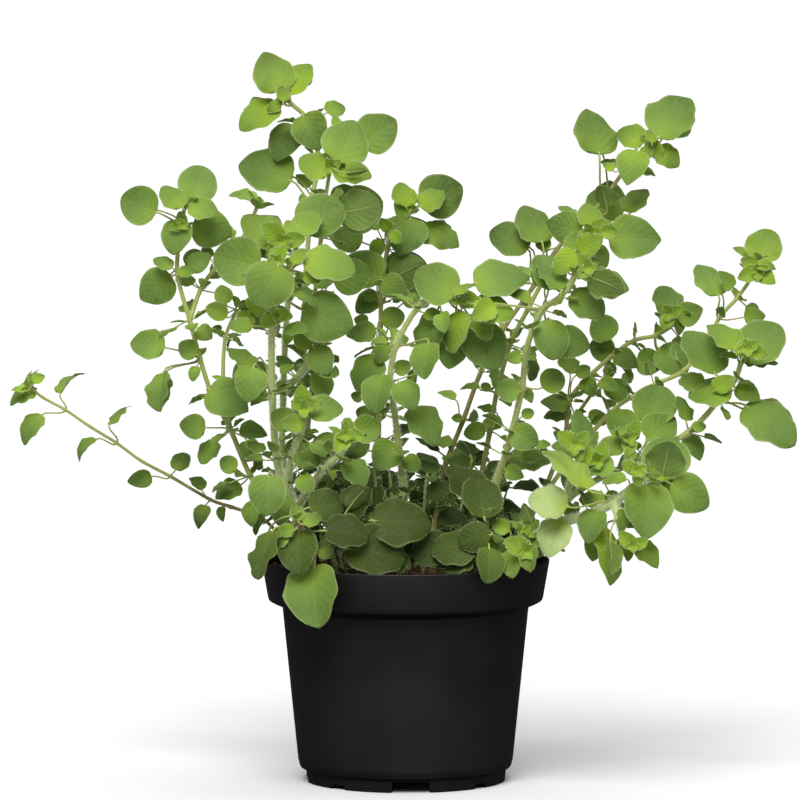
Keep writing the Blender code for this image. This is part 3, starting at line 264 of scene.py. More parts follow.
                (128, 158, -29), (141, 172, -31), (148, 181, -32), (151, 189, -33)], [
            (9, 160, 199, 38, 24, 20, 1), (9, 143, 201, 322, 18, 11, -3),
            (8, 133.5, 194, 330, 24, 16, 3), (9, 152, 196, 10, 9, 6, -4),
            (9, 145, 192, 285, 8, 3, -5), (9, 160, 190, 80, 15, 5, -4),
            (8, 137, 176.3, 270, 20, 11, -3), (8, 154, 175.5, 110, 12, 9, 4),
            (8, 128.5, 180, 300, 12, 9, 4),
            (7, 164.8, 162.4, 121, 28, 17, -2), (6, 125.3, 168.5, 350, 12, 7, 1),
            (6, 132, 160, 70, 7, 5, -2), (6, 130, 151, 150, 13, 8, 3),
            (5, 112, 170, 12, 20, 19, 2), (5, 115, 160, 45, 17, 16, -3),
            (3, 87, 141, 272, 17, 10, -4)]),
        ((0, 4), [(100, 148, -31), (99.5, 153, -34)], [
            (2, 91.5, 150, 266, 14, 9, -1), (2, 97, 157, 335, 9, 4, -3),
            (2, 103, 157, 20, 10, 5, -2), (2, 101, 147, 170, 7, 5, -4)]),
        ((0, 2), [(75, 138, -27), (79, 149, -30)], [
            (2, 80.5, 159.5, 0, 19, 11, 1), (2, 72, 151, 283, 13, 9, -2),
            (2, 84, 154, 20, 10, 5, -4), (2, 78, 153, 320, 6, 4, -5)]),
    ]),
    ("stem_right_front", (47, -31), 1.6, [
        (None, [(52, 105, -38), (60, 111, -46), (71, 117, -52), (83, 120, -56), (94, 126, -59),
                (102, 132, -61), (109, 137, -62)], [
            (7, 117.5, 146.5, 10, 21, 21, 1), (7, 128, 129.5, 118, 19, 17, 4),
            (7, 108.5, 122, 180, 24, 21, -2), (7, 104, 141, 290, 10, 6, -2),
            (7, 111, 132, 165, 9, 6, -5), (7, 118, 133, 115, 10, 8, -3),
            (5, 64, 126, 285, 18, 14, -4), (5, 73.5, 142, 320, 26, 10, -2),
            (3, 66.5, 110, 205, 17, 14, -5), (2, 57, 108, 240, 12, 6, -5),
            (4, 84, 115, 200, 15, 12, 4), (4, 85, 105, 190, 10, 9, 7),
            (5, 84, 127, 280, 12, 8, 5), (6, 94, 136, 268, 11, 5, -2)]),
        ((0, 5), [(96, 118, -64), (98, 110, -66)], [
            (1, 93.3, 103.5, 166, 25, 10, -3), (1, 98, 119, 180, 10, 5, 3),
            (2, 109, 102, 130, 14, 9, 1), (2, 102, 107, 90, 8, 5, -2), (2, 100, 103, 170, 7, 5, 2)]),
    ]),
    ("shoot_rim_right", (41, -41), 1.1, [
        (None, [(47, 105, -47), (52, 110, -52)], [
            (2, 52, 107, 250, 7, 5, -3), (2, 56, 100, 185, 11, 8, -4), (2, 51, 114, 325, 10, 4, -1),
            (2, 51, 122, 282, 16, 9, 3), (1, 43, 115, 300, 9, 7, 2), (2, 56, 115, 50, 11, 8, 3),
            (1, 48, 98, 185, 13, 10, -8), (1, 49, 105, 150, 8, 6, -3)]),
    ]),
    ("shoot_front_left", (-35, -40), 1.3, [
        (None, [(-40, 106, -50), (-45, 111, -52), (-47.5, 117, -53)], [
            (1, -41.5, 83.5, 182, 27, 22, -10), (3, -48.5, 103.5, 183, 19, 17, -4),
            (3, -64.3, 103, 205, 22, 9, 1), (3, -57, 108, 235, 9, 6, -1), (3, -49, 121, 350, 8, 6, -3),
            (3, -42, 118, 60, 9, 6, -4), (3, -54, 113, 265, 8, 6, -4), (3, -35.5, 124.8, 80, 17, 14, 2),
            (2, -26.5, 112, 95, 20, 14, -2), (2, -36, 103, 110, 7, 6, 1)]),
    ]),
    ("shoot_front", (-20, -42), 1.2, [
        (None, [(-25, 104, -47), (-29, 109, -49)], [
            (1, -16.3, 103.8, 95, 27, 21, -5), (2, -23.5, 126.5, 25, 20, 16, 7),
            (2, -35, 108, 280, 8, 6, 2)]),
    ]),
    ("shoot_front_centre", (-5, -33), 1.2, [
        (None, [(-9, 108, -37), (-13, 116, -39)], [
            (2, -1.8, 117.5, 90, 27, 20, -4), (1, -3, 100, 120, 13, 8, -10), (1, 3, 106, 80, 12, 9, 0),
            (2, -13, 128, 0, 11, 8, 4)]),
    ]),
    ("shoot_front_right", (21, -36), 1.3, [
        (None, [(29, 106, -42), (36, 112, -45), (37, 118, -46)], [
            (1, 12.3, 104, 252, 19, 15, 0), (2, 22, 106, 276, 21, 15, -4),
            (2, 31, 110, 262, 15, 13, -8), (2, 38, 97.5, 178, 18, 14, -12),
            (3, 35, 123, 340, 14, 12, -6), (3, 34, 127, 350, 20, 17, -1),
            (3, 28, 132, 335, 24, 16, 4), (2, 43, 116, 60, 9, 7, -2), (2, 41, 107, 130, 9, 7, -2),
            (1, 24, 98, 260, 14, 6, -4)]),
    ]),
    ("shoot_centre", (12, -14), 1.1, [
        (None, [(13, 112, -15), (14, 122, -16)], [
            (2, 15, 131, 40, 13, 9, 0), (2, 7, 134, 320, 8, 6, 2), (1, 20, 119, 80, 14, 9, 2),
            (1, 6, 121, 285, 11, 8, 2)]),
    ]),
]

# Short shoots round the back of the pot: the bearing of each from +X, and its height over the soil.
BACK_SHOOTS = [(40, 22), (65, 27), (93, 24), (119, 28), (142, 22)]
BACK_RADIUS = 1.2
print("stems in the table:", len(STEMS), "and at the back:", len(BACK_SHOOTS))

# %% [markdown]
# ## Directions and places
# All that follows is put together from a few directions: along a stem, square to it, round the pot,
# and as the camera sees it. A place in the tables is given as it is seen in the upright plane
# through the pot's axis, so a helper carries it along the line of sight to its true depth.

# %% Directions, and the true place of what is seen
def unit(vector):
    return vector / np.linalg.norm(vector)


def even_turns(count):
    """Even bearings all round, in radians."""
    return np.arange(count) * 2 * math.pi / count


def round_ways(angle):
    """The directions outwards and sideways at an angle round the pot's axis."""
    out = np.array([math.cos(angle), math.sin(angle), 0.0])
    return out, np.cross(UP, out)


def sight_frame(place):
    """The direction in which a place is seen, and what is right and up there."""
    sight = unit(place - EYE)
    right = unit(np.cross(sight, UP))
    return sight, right, np.cross(right, sight)


def square_to(vector, axis):
    """The part of a vector that is square to a unit axis, as a unit vector."""
    return unit(vector - (vector @ axis) * axis)


def seen(x, z, depth):
    """The true place of a point at a depth, seen from the eye at x and z in the upright plane."""
    sight = np.array([x, 0.0, z]) - EYE
    return EYE + sight * (1 + depth / -EYE[1])


print("seen at the rim, 20 mm behind the axis:", seen(RIM_RADIUS, POT_HEIGHT, 20.0).round(1))

# %% [markdown]
# ## Stems and leaves as plain solids
# A stem of the CAD model is a chain of four-sided rings, and a leaf rises from one face of the stem
# at its joint: its rows of four corners join on to the corners of that face, so stem and leaves stay
# one closed solid. The same solids are made here again, to know where each leaf stands.

# %% Rings of a stem and rows of a leaf
# How much a shoot thins, where its first corner points, and the height of a level of faces
STEM_TAPER = 0.7
STEM_SIDE = np.array([0.83, 0.56, 0.05])
LEVEL = 1.3

# Thickness of blades and petioles, from which length a petiole has corners of its own, where a blade
# has its corners by its length, and how much wider it is made because its sides are straight
BLADE = 0.8
PETIOLE = 1.2
LONG_STALK = 4.0
BLADE_SHARES = [(17.0, (0.16, 0.45, 0.8)), (9.5, (0.26, 0.68)), (0.0, (0.45,))]
FULLER = 1.05


@dataclass
class Leaf:
    """A leaf: the root of its petiole, and its blade's base, axis, upper face, size and arch."""
    root: np.ndarray
    base: np.ndarray
    axis: np.ndarray
    face: np.ndarray
    length: float
    width: float
    arch: float


def stem_rings(line, radius, levels):
    """Four corners round a shoot at each of its joints, once more than the joint has levels."""
    tangents = np.gradient(line, axis=0)
    side = STEM_SIDE
    for point, tangent, wide, count in zip(line, tangents, np.linspace(1.0, STEM_TAPER, len(line)), levels):
        tangent = unit(tangent)
        side = square_to(side, tangent)
        other = np.cross(tangent, side)
        corners = radius * wide * np.array([side, other, -side, -other])
        steps = (np.arange(count + 1) - count / 2) * LEVEL
        yield [point + tangent * step + corners for step in steps]


def bridge(a, b):
    """Triangles between two loops of four points, split alike on the first and third side."""
    faces = []
    for k in range(4):
        n = (k + 1) % 4
        if k == 3:
            faces += [(a[k], a[n], b[k]), (a[n], b[n], b[k])]
        else:
            faces += [(a[k], a[n], b[n]), (a[k], b[n], b[k])]
    return faces


def matched(root, row):
    """The places of four root corners in the order that lies nearest to the corners of a row."""
    turns = [[(k + turn) % 4 for k in range(4)] for turn in range(4)]
    return min(turns, key=lambda order: np.sum((root[order] - row) ** 2))


def blade_width(share):
    """Half of an ovate blade's width at a share of its length, as a share of the greatest."""
    return 2.07 * share ** 0.45 * (1 - share) ** 0.62


def stalk_frame(leaf, way):
    """The directions across a petiole that runs in the direction `way`, and out of its upper side."""
    across = np.cross(way, leaf.face)
    across = unit(across) if np.linalg.norm(across) > 0.35 else np.cross(leaf.axis, leaf.face)
    return across, unit(np.cross(across, way))


def leaf_rows(leaf, thick, spare):
    """The rows of four corners along a leaf, and the two points of its tip.

    The blade arches back towards its tip. `spare` widens the leaf all round.
    """
    stalk = leaf.base - leaf.root
    reach = np.linalg.norm(stalk)
    along = stalk / reach
    middles, halves, frames = [], [], []
    if reach > LONG_STALK and along @ leaf.axis > -0.3:
        middles.append(leaf.base)
        halves.append(PETIOLE / 2)
        frames.append(stalk_frame(leaf, unit(along + leaf.axis)))
    for share in next(shares for least, shares in BLADE_SHARES if leaf.length >= least):
        bend = leaf.face * leaf.arch * leaf.length * share ** 2
        middles.append(leaf.base + leaf.axis * leaf.length * share - bend)
        halves.append(leaf.width / 2 * blade_width(share) * FULLER)
        frames.append((np.cross(leaf.axis, leaf.face), leaf.face))
    rows = []
    for middle, half, (across, up) in zip(middles, halves, frames):
        wide, high = across * (half + spare), up * thick / 2
        rows.append(middle + np.array([wide + high, wide - high, -wide - high, -wide + high]))
    tip = leaf.base + leaf.axis * (leaf.length + spare) - leaf.face * leaf.arch * leaf.length
    return rows, tip + np.array([leaf.face, -leaf.face]) * thick / 2


def leaf_mesh(root, leaf, thick=BLADE, spare=0.0):
    """A leaf's points and triangles, which rise from the four root corners that come first."""
    rows, tip = leaf_rows(leaf, thick, spare)
    count = 4 * len(rows)
    loops = [matched(root, rows[0])] + [range(4 + k, 8 + k) for k in range(0, count, 4)]
    faces = []
    for a, b in zip(loops, loops[1:]):
        faces += bridge(a, b)
    left, low, right, high = loops[-1]
    over, under = count + 4, count + 5
    faces += [(left, low, under), (left, under, over), (low, right, under),
              (right, high, over), (right, over, under), (high, left, over)]
    return np.vstack([root] + rows + [tip]), faces


print("a blade's width at its middle, as a share of the greatest:", round(blade_width(0.5), 2))

# %% [markdown]
# ## From a row of the table to a leaf
# A leaf is seen foreshortened, and its row says only how it looks. Its true length and its turn
# follow from two rules: blades lean by a fixed angle from the plane of the picture, and their width
# is a fixed share of their length, so a blade that looks narrow must be turned about its axis.

# %% A leaf as it is seen, and a leaf that nobody sees
# The width of long and of short leaves as a share of their length, and how far blades lean
BROAD_FROM = 12.0
BROAD = 0.84
NARROW = 0.72
LEAN = math.radians(24)


def leaf_as_seen(row, root, arch, behind, shift, size, slide):
    """A leaf from its row in the table, moved by `shift` along the line of sight.

    It is made smaller by `size` and moved towards its tip by `slide`.

    The blade lies in a plane that is tipped back from the eye, so a blade that points up leans
    away and one that points down leans nearer. A blade that is seen narrow is turned about its
    own axis, with its upper face to the sky. A leaf behind its joint faces the other way.
    """
    _, x, z, clock, length, width, push = row
    length, width = length * size, width * size
    middle = seen(x, z, root[1] + push + shift)
    sight, right, up = sight_frame(middle)
    angle = math.radians(clock)
    lean = LEAN * math.cos(angle) * (-1 if behind else 1)
    axis = math.cos(lean) * (math.sin(angle) * right + math.cos(angle) * up) + math.sin(lean) * sight
    length /= math.cos(lean)
    full_width = length * (BROAD if length >= BROAD_FROM else NARROW)
    turn = math.acos(min(1.0, width / full_width))
    face = square_to(sight if behind else -sight, axis)
    other = np.cross(axis, face)
    other = other if other[2] >= 0 else -other
    face = math.cos(turn) * face + math.sin(turn) * other
    base = middle - axis * (length / 2 - slide)
    return Leaf(root, base, axis, face, length, max(width, full_width), arch)


def free_leaf(root, way, face, length, stalk, arch, shift, size, slide):
    """A leaf that grows from its root in a given direction, raised or lowered by `shift`."""
    axis = unit(way + UP * 0.06 * shift)
    return Leaf(root, root + axis * (stalk + slide), axis, square_to(face, axis),
                length * size, length * size * BROAD, arch)


example = leaf_as_seen((0, 0, 200, 45, 12, 8, 0), UP * 195, 0.1, False, 0, 1.0, 0)
print("a leaf seen 12 mm long is", round(example.length, 1), "mm long")

# %% [markdown]
# ## One stem with its leaves
# Where a shoot or a leaf is to grow, the stem has free faces all round its joint, in as many levels
# as are needed. The free face that looks most directly towards the leaf is tried first, and the
# leaf that rises from it uses it up.

# %% A leafy stem
# A side shoot's radius beside its stem's, and how far a face may look away from its leaf, as a cosine
SIDE_SHOOT = 0.8
LEAST_DIRECT = -0.2


class LeafyStem:
    """One leafy stem: a closed mesh with faces at its joints that shoots and leaves are raised from."""

    def __init__(self, name, radius):
        self.name = name
        self.radius = radius
        self.lines = []
        self.leaves = []
        self.points = []
        self.faces = []
        self.free = {}

    def add_shoot(self, line, levels, socket=None):
        """Add a shoot along a line, raised from a socket of its parent unless it is the first."""
        number = len(self.lines)
        self.lines.append(line)
        radius = self.radius * (1 if socket is None else SIDE_SHOOT)
        last = socket
        for joint, rings in enumerate(stem_rings(line, radius, levels)):
            if joint == 0 and socket:
                continue
            free = self.free[number, joint] = []
            for step, corners in enumerate(rings):
                here = tuple(range(len(self.points), len(self.points) + 4))
                if step:
                    free += [(last[k], last[k - 3], here[k - 3], here[k]) for k in range(4)]
                elif last:
                    order = matched(np.array([self.points[k] for k in last]), corners)
                    self.faces += bridge([last[k] for k in order], here)
                else:
                    self.faces.append(here)
                self.points += list(corners)
                last = here
        free.append(last)

    def corners(self, socket):
        return np.array([self.points[k] for k in socket])

    def facing(self, shoot, joint, place):
        """The free faces of a joint that look towards a place, the most direct first."""
        ranked = []
        for socket in self.free[shoot, joint]:
            root = self.corners(socket)
            normal = unit(np.cross(root[2] - root[0], root[3] - root[1]))
            ranked.append((normal @ unit(place - root.mean(0)), socket))
        return [socket for direct, socket in sorted(ranked, reverse=True) if direct > LEAST_DIRECT]

    def leaf_on(self, socket, leaf):
        """The points and the faces that a leaf adds when it is raised from a socket."""
        points, faces = leaf_mesh(self.corners(socket), leaf)
        places = list(socket) + list(range(len(self.points), len(self.points) + len(points) - 4))
        return list(points[4:]), [tuple(places[k] for k in face) for face in faces]

    def tangled(self, added, new):
        """True where the new faces cross one another or the faces that are there already."""
        points, faces = self.solid()
        points = np.vstack([points, added]).tolist()
        faces = faces + new
        pairs = BVHTree.FromPolygons(points, new).overlap(BVHTree.FromPolygons(points, faces))
        return any(set(new[a]).isdisjoint(faces[b]) for a, b in pairs)

    def solid(self):
        """All the points and faces, with the faces that nothing was raised from."""
        unused = [socket for free in self.free.values() for socket in free]
        return np.array(self.points), self.faces + unused


trial = LeafyStem("trial", 1.3)
trial.add_shoot(np.array([[0, 0, 0], [0, 0, 10], [0, 0, 20.0]]), (0, 1, 1))
print("free faces at the last joint of a plain stem:", len(trial.free[0, 2]))

# %% [markdown]
# ## Keep clear of what is in place
# Two leaves in the same place would cut through each other. So each leaf is tried at its own depth,
# then a little nearer and a little farther along the line of sight, and last a bit smaller, until
# its solid crosses nothing. Trees of triangles make such a test quick.

# %% What is in place, with the rim and the soil first
# The sides of the rim that leaves are kept from, and the share of a blade that a free face looks at
POT_SIDES = 36
AIM = 0.2

# The gaps that a leaf keeps from other stems and from its own, and its steps along the line of sight
CLEAR = 0.45
NEAR = 0.1
LIFT = 0.08
SHIFTS = (0, -2, 2, -4, 4, -6, 6, -9, 9, -12, 12, -16, 16)
SIZES_AND_SLIDES = ((1.0, 0), (1.0, 1.5), (1.0, 3), (0.85, 0), (0.85, 3), (0.7, 2))


class Cover:
    """What is already in place, as trees of triangles, to tell whether a new leaf would cross it."""

    def __init__(self):
        self.owners, self.trees = [], []
        self.lows, self.highs = np.zeros((0, 3)), np.zeros((0, 3))

    def add(self, owner, solid):
        points, faces = solid
        self.owners.append(owner)
        self.trees.append(BVHTree.FromPolygons(points.tolist(), faces))
        self.lows = np.vstack([self.lows, points.min(0)])
        self.highs = np.vstack([self.highs, points.max(0)])

    def crosses(self, solid, among):
        """True where the solid cuts one of the pieces whose owner `among` accepts."""
        points, faces = solid
        near = ((points.min(0) < self.highs) & (points.max(0) > self.lows)).all(axis=1)
        tree = BVHTree.FromPolygons(points.tolist(), faces)
        for number in np.flatnonzero(near):
            if among(self.owners[number]) and tree.overlap(self.trees[number]):
                return True
        return False

    def fits(self, stem, socket, leaf):
        """True where a leaf raised from a socket stays clear of its own stem and of all the others."""
        root = stem.corners(socket)
        first = leaf_rows(leaf, BLADE, 0)[0][0]
        lifted = root[matched(root, first)] * (1 - LIFT) + first * LIFT
        wide = leaf_mesh(lifted, leaf, BLADE + 2 * CLEAR, CLEAR)
        close = leaf_mesh(lifted, leaf, BLADE + 2 * NEAR, NEAR)
        return not (self.crosses(wide, lambda owner: owner != stem.name)
                    or self.crosses(close, lambda owner: owner == stem.name)
                    or stem.tangled(*stem.leaf_on(socket, leaf)))

    def settle(self, stem, shoot, joint, make_leaf):
        """Raise a leaf at the smallest shift that keeps it clear of all else, or else a smaller leaf."""
        for size, slide in SIZES_AND_SLIDES:
            for shift in SHIFTS:
                leaf = make_leaf(shift, size, slide)
                for socket in stem.facing(shoot, joint, leaf.base + leaf.axis * leaf.length * AIM):
                    leaf = replace(leaf, root=stem.corners(socket).mean(0))
                    if self.fits(stem, socket, leaf):
                        points, faces = stem.leaf_on(socket, leaf)
                        stem.points += points
                        stem.faces += faces
                        stem.free[shoot, joint].remove(socket)
                        stem.leaves.append((leaf, shoot, joint))
                        self.add(stem.name, leaf_mesh(stem.corners(socket), leaf))
                        return


def turned(profile, sides):
    """A closed shape turned about Z from a profile whose two ends lie on the axis."""
    points, rings, faces = [], [], []
    for radius, height in profile:
        if radius == 0:
            rings.append([len(points)] * sides)
            points.append((0.0, 0.0, height))
            continue
        rings.append(range(len(points), len(points) + sides))
        points += [(radius * math.cos(a), radius * math.sin(a), height) for a in even_turns(sides)]
    for low, high in zip(rings, rings[1:]):
        for k in range(sides):
            n = (k + 1) % sides
            faces.append(tuple(dict.fromkeys((low[k], low[n], high[n], high[k]))))
    return np.array(points), faces


def guard_profile():
    """The rim band with the soil inside it, which leaves must stay clear of."""
    low, top = BAND_FOOT[1] - 6, SOIL_TOP + SOIL_SWELL
    return [(0, low), (BAND_FOOT[0] - 5, low), BAND_FOOT, (RIM_RADIUS, POT_HEIGHT),
            (RIM_RADIUS - WALL, POT_HEIGHT), (RIM_RADIUS - WALL, top), (0, top)]


cover = Cover()
cover.add("pot", turned(guard_profile(), POT_SIDES))
print("in place:", cover.owners, "with", len(guard_profile()), "corners in its profile")

# %% [markdown]
# ## Grow the plant
# All stems stand first, then the leaves that are seen are raised in the order of the table, and
# last their twins behind them and the short shoots at the back of the pot, which fill the far side.

# %% Stems from the table, and all the leaves
STEM_DEPTH = 7.0
LEAVES_PER_LEVEL = 3
ARCH = (0.04, 0.18)
SEED = 7

# Leaves that grow behind the large ones and face the other way
BACK_LEAF_FROM = 17.0
BACK_LEAF_SIZE = 0.84
BACK_LEAF_DEPTH = 9.0
BACK_LEAF_TURN = 14.0


def point_of(shoot, joint):
    """A joint's place in its shoot's line: a stem's first shoot has one more point, in the soil."""
    return joint + (shoot == 0)


def levels_needed(shoots):
    """The levels of faces at each point of each shoot, for the shoots and leaves that grow there."""
    counts = [[0] * (len(joints) + (2 if start is None else 1)) for start, joints, _ in shoots]
    for number, (start, _, rows) in enumerate(shoots):
        if start:
            counts[start[0]][point_of(*start)] += 1
        for row in rows:
            counts[number][point_of(number, row[0])] += 2 if row[4] >= BACK_LEAF_FROM else 1
    return [[math.ceil(count / LEAVES_PER_LEVEL) for count in line] for line in counts]


def stem_from_table(name, foot, radius, shoots):
    """A leafy stem with its shoots, and no leaves yet."""
    stem = LeafyStem(name, radius)
    for (start, joints, _), levels in zip(shoots, levels_needed(shoots)):
        places = [seen(*joint) for joint in joints]
        if start is None:
            ground = [np.array([*foot, SOIL_TOP - STEM_DEPTH]), np.array([*foot, SOIL_TOP + 3])]
            stem.add_shoot(np.array(ground + places), levels)
            continue
        parent, joint = start[0], point_of(*start)
        socket = stem.facing(parent, joint, places[0])[0]
        stem.free[parent, joint].remove(socket)
        stem.add_shoot(np.array([stem.lines[parent][joint]] + places), levels, socket)
    return stem


def back_shoot(bearing, rise):
    """A short shoot that leans out over the back of the rim, and its leaves' directions and sizes."""
    out, aside = round_ways(math.radians(bearing))
    reaches = [(34, -STEM_DEPTH), (34, 3), (38, rise * 0.5), (46, rise * 0.8), (55, rise)]
    line = np.array([out * reach + UP * (SOIL_TOP + height) for reach, height in reaches])
    rows = [(joint, aside * hand * 0.85 + out * 0.45 - UP * 0.15, UP + out * 0.8, length, 4)
            for joint, length in ((2, 22), (3, 20)) for hand in (-1, 1)]
    rows += [(4, out * 0.75 - UP * 0.7, out + UP * 0.8, 21, 3),
             (4, UP * 0.7 + aside * 0.4, out + UP * 0.5, 14, 2),
             (4, UP * 0.2 - aside * 0.9, out + UP * 0.6, 16, 2)]
    return line, rows


def grow_plant():
    """Every leafy stem, with its shoots and leaves in place."""
    rng = np.random.default_rng(SEED)
    plant = [stem_from_table(*entry) for entry in STEMS]
    for number, (bearing, rise) in enumerate(BACK_SHOOTS, 1):
        stem = LeafyStem(f"shoot_back_{number}", BACK_RADIUS)
        stem.add_shoot(back_shoot(bearing, rise)[0], (0, 0, 1, 1, 1))
        plant.append(stem)
    for stem in plant:
        cover.add(stem.name, stem.solid())
    for behind in (False, True):
        for (*_, shoots), stem in zip(STEMS, plant):
            for number, (_, _, rows) in enumerate(shoots):
                for row in rows:
                    arch = rng.uniform(*ARCH)
                    turn = rng.uniform(-BACK_LEAF_TURN, BACK_LEAF_TURN)
                    if behind and row[4] < BACK_LEAF_FROM:
                        continue
                    if behind:
                        joint, x, z, clock, length, width, push = row
                        row = (joint, x, z, clock + turn, length * BACK_LEAF_SIZE,
                               width * BACK_LEAF_SIZE, push + BACK_LEAF_DEPTH)
                    joint = point_of(number, row[0])
                    place = stem.lines[number][joint]
                    cover.settle(stem, number, joint, partial(leaf_as_seen, row, place, arch, behind))
    for (bearing, rise), stem in zip(BACK_SHOOTS, plant[len(STEMS):]):
        for joint, way, face, length, stalk in back_shoot(bearing, rise)[1]:
            arch = rng.uniform(*ARCH)
            way = unit(way) + rng.normal(0, 0.12, 3)
            length *= rng.uniform(0.85, 1.1)
            place = stem.lines[0][joint]
            cover.settle(stem, 0, joint, partial(free_leaf, place, way, face, length, stalk, arch))
    return plant


plant = grow_plant()
print("stems:", len(plant), "leaves:", sum(len(stem.leaves) for stem in plant))

# %% [markdown]
# ## One skin for stems, leaves, pot and soil
# Nearly everything here is a row of rings closed by a point at each end: a stalk is round rings
# along a line, a leaf is flat rings from its base to its tip, and the pot and the soil are rings
# round an upright axis. So one helper joins rings into a closed skin, and each piece only has to say
# where its rings lie. Each point also carries a look, which the materials read: how young the leaf
# is, its tone, whether the point is on the underside, and how old and dark the leaf is. Low down,
# inside and at the back of the plant the tone and the age also carry a painted shade.

# %% A closed skin from rings, and the objects that are made of skins
@dataclass
class Skin:
    """Points in millimetres, four-sided and three-sided faces, and what the materials read.

    `look` and `blade` have a row for each point, or one row that all the points share.
    """
    points: np.ndarray
    quads: np.ndarray
    tris: np.ndarray
    look: np.ndarray = (0, 0, 0, 0)
    blade: np.ndarray = (0, 0, 0)
    finish: int = 0

    def __post_init__(self):
        self.look = np.array(np.broadcast_to(self.look, (len(self.points), 4)), float)
        self.blade = np.array(np.broadcast_to(self.blade, (len(self.points), 3)), float)


def closed_skin(rings, start, end, look=(0, 0, 0, 0), blade=(0, 0, 0), finish=0):
    """Join rings of equal size into a skin that the points `start` and `end` close.

    Point j of ring i is i * size + j, and a face joins (i, j), (i, j+1), (i+1, j+1), (i+1, j).
    """
    count, size = rings.shape[:2]
    here = np.arange(count * size).reshape(count, size)
    after = np.roll(here, -1, axis=1)
    quads = np.stack([here[:-1], after[:-1], after[1:], here[1:]], axis=-1).reshape(-1, 4)
    first, last = count * size, count * size + 1
    tris = np.concatenate([np.stack([np.full(size, first), after[0], here[0]], axis=1),
                           np.stack([here[-1], after[-1], np.full(size, last)], axis=1)])
    points = np.concatenate([rings.reshape(-1, 3), [start, end]])
    return Skin(points, quads, tris, look, blade, finish)


def make_piece(name, skins, materials):
    """One mesh object from many skins, with its place in its mesh, smooth all over."""
    starts = np.cumsum([0] + [len(skin.points) for skin in skins[:-1]])
    points = np.concatenate([skin.points for skin in skins]) * MM
    quads = np.concatenate([skin.quads + start for skin, start in zip(skins, starts)])
    tris = np.concatenate([skin.tris + start for skin, start in zip(skins, starts)])
    corners = np.concatenate([quads.ravel(), tris.ravel()]).astype(np.int32)
    begins = np.concatenate([np.arange(len(quads)) * 4, len(quads) * 4 + np.arange(len(tris)) * 3])
    finish = np.concatenate([np.full(len(skin.quads), skin.finish) for skin in skins]
                            + [np.full(len(skin.tris), skin.finish) for skin in skins])
    mesh = bpy.data.meshes.new(name)
    mesh.vertices.add(len(points))
    mesh.vertices.foreach_set("co", points.ravel())
    mesh.loops.add(len(corners))
    mesh.loops.foreach_set("vertex_index", corners)
    mesh.polygons.add(len(begins))
    mesh.polygons.foreach_set("loop_start", begins.astype(np.int32))
    mesh.polygons.foreach_set("material_index", finish.astype(np.int32))
    mesh.polygons.foreach_set("use_smooth", np.ones(len(begins), bool))
    mesh.update(calc_edges=True)
    look = mesh.attributes.new("look", "FLOAT_COLOR", "POINT")
    look.data.foreach_set("color", np.concatenate([skin.look for skin in skins]).ravel())
    places = np.concatenate([skin.blade for skin in skins])
    blade = mesh.attributes.new("blade", "FLOAT_VECTOR", "POINT")
    blade.data.foreach_set("vector", places.ravel())
    ends = np.empty(2 * len(mesh.edges), np.int32)
    mesh.edges.foreach_get("vertices", ends)
    margin = (np.abs(places[ends.reshape(-1, 2), 1]) > 0.999).all(axis=1)
    mesh.attributes.new("sharp_edge", "BOOLEAN", "EDGE").data.foreach_set("value", margin)
    for material in materials:
        mesh.materials.append(material)
    piece = bpy.data.objects.new(name, mesh)
    bpy.context.scene.collection.objects.link(piece)
    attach(piece, "root")
    return piece


square = [(1, 0), (0, 1), (-1, 0), (0, -1)]
box = closed_skin(np.array([[(x, y, z) for x, y in square] for z in (0.0, 1.0)]), (0, 0, 0), UP)
print("two rings of four points make", len(box.quads), "quads and", len(box.tris), "triangles")

# %% [markdown]
# ## Stalks and stems
# A stem is a tube with eight sides whose corners stand out a little, because oregano stems are
# nearly square. It swells at each joint, where the leaves grow.

# %% Lines and tubes
# Where a line has points between two joints, how far and how much a stem swells at a joint, and how
# much its four corners stand out
SPAN_STEPS = np.array([0.0, 0.07, 0.22, 0.5, 0.78, 0.93])
JOINT_SPREAD = 0.12
SWELL = 0.2
SQUARE = 0.07

# The places of the stem's and the hairs' materials in a leafy stem's list, where the leaf's is 0
BARK, DOWN = 1, 2


def smooth_line(joints):
    """A smooth line through all the joints, and how far each of its points is from a joint.

    Between joints b and c, with a before and d after, it is the cubic of Catmull and Rom:
    b + t (c - a) / 2 + t^2 (2a - 5b + 4c - d) / 2 + t^3 (3b - 3c + d - a) / 2.
    """
    padded = np.concatenate([[2 * joints[0] - joints[1]], joints, [2 * joints[-1] - joints[-2]]])
    a, b, c, d = (padded[k:len(padded) - 3 + k][:, None] for k in range(4))
    t = SPAN_STEPS[None, :, None]
    line = b + t * (c - a) / 2 + t ** 2 * (2 * a - 5 * b + 4 * c - d) / 2 \
        + t ** 3 * (3 * b - 3 * c + d - a) / 2
    near = np.tile(np.minimum(SPAN_STEPS, 1 - SPAN_STEPS), len(joints) - 1)
    return np.concatenate([line.reshape(-1, 3), joints[-1:]]), np.append(near, 0.0)


def line_frames(line):
    """The direction of a line at each point, and two directions square to it that hardly twist."""
    along = np.gradient(line, axis=0)
    along /= np.linalg.norm(along, axis=1, keepdims=True)
    sides = []
    side = STEM_SIDE
    for way in along:
        side = square_to(side, way)
        sides.append(side)
    sides = np.array(sides)
    return along, sides, np.cross(along, sides)


def tube(line, radii, sides, look, finish=BARK, square=0.0):
    """A tube along a line: its ring at angle a is line + r (1 + square cos 4a) (s cos a + o sin a)."""
    _, side, other = line_frames(line)
    angle = even_turns(sides)
    wide = radii[:, None] * (1 + square * np.cos(4 * angle))
    rings = line[:, None] + wide[..., None] * (side[:, None] * np.cos(angle)[:, None]
                                               + other[:, None] * np.sin(angle)[:, None])
    return closed_skin(rings, line[0], line[-1], look, finish=finish)


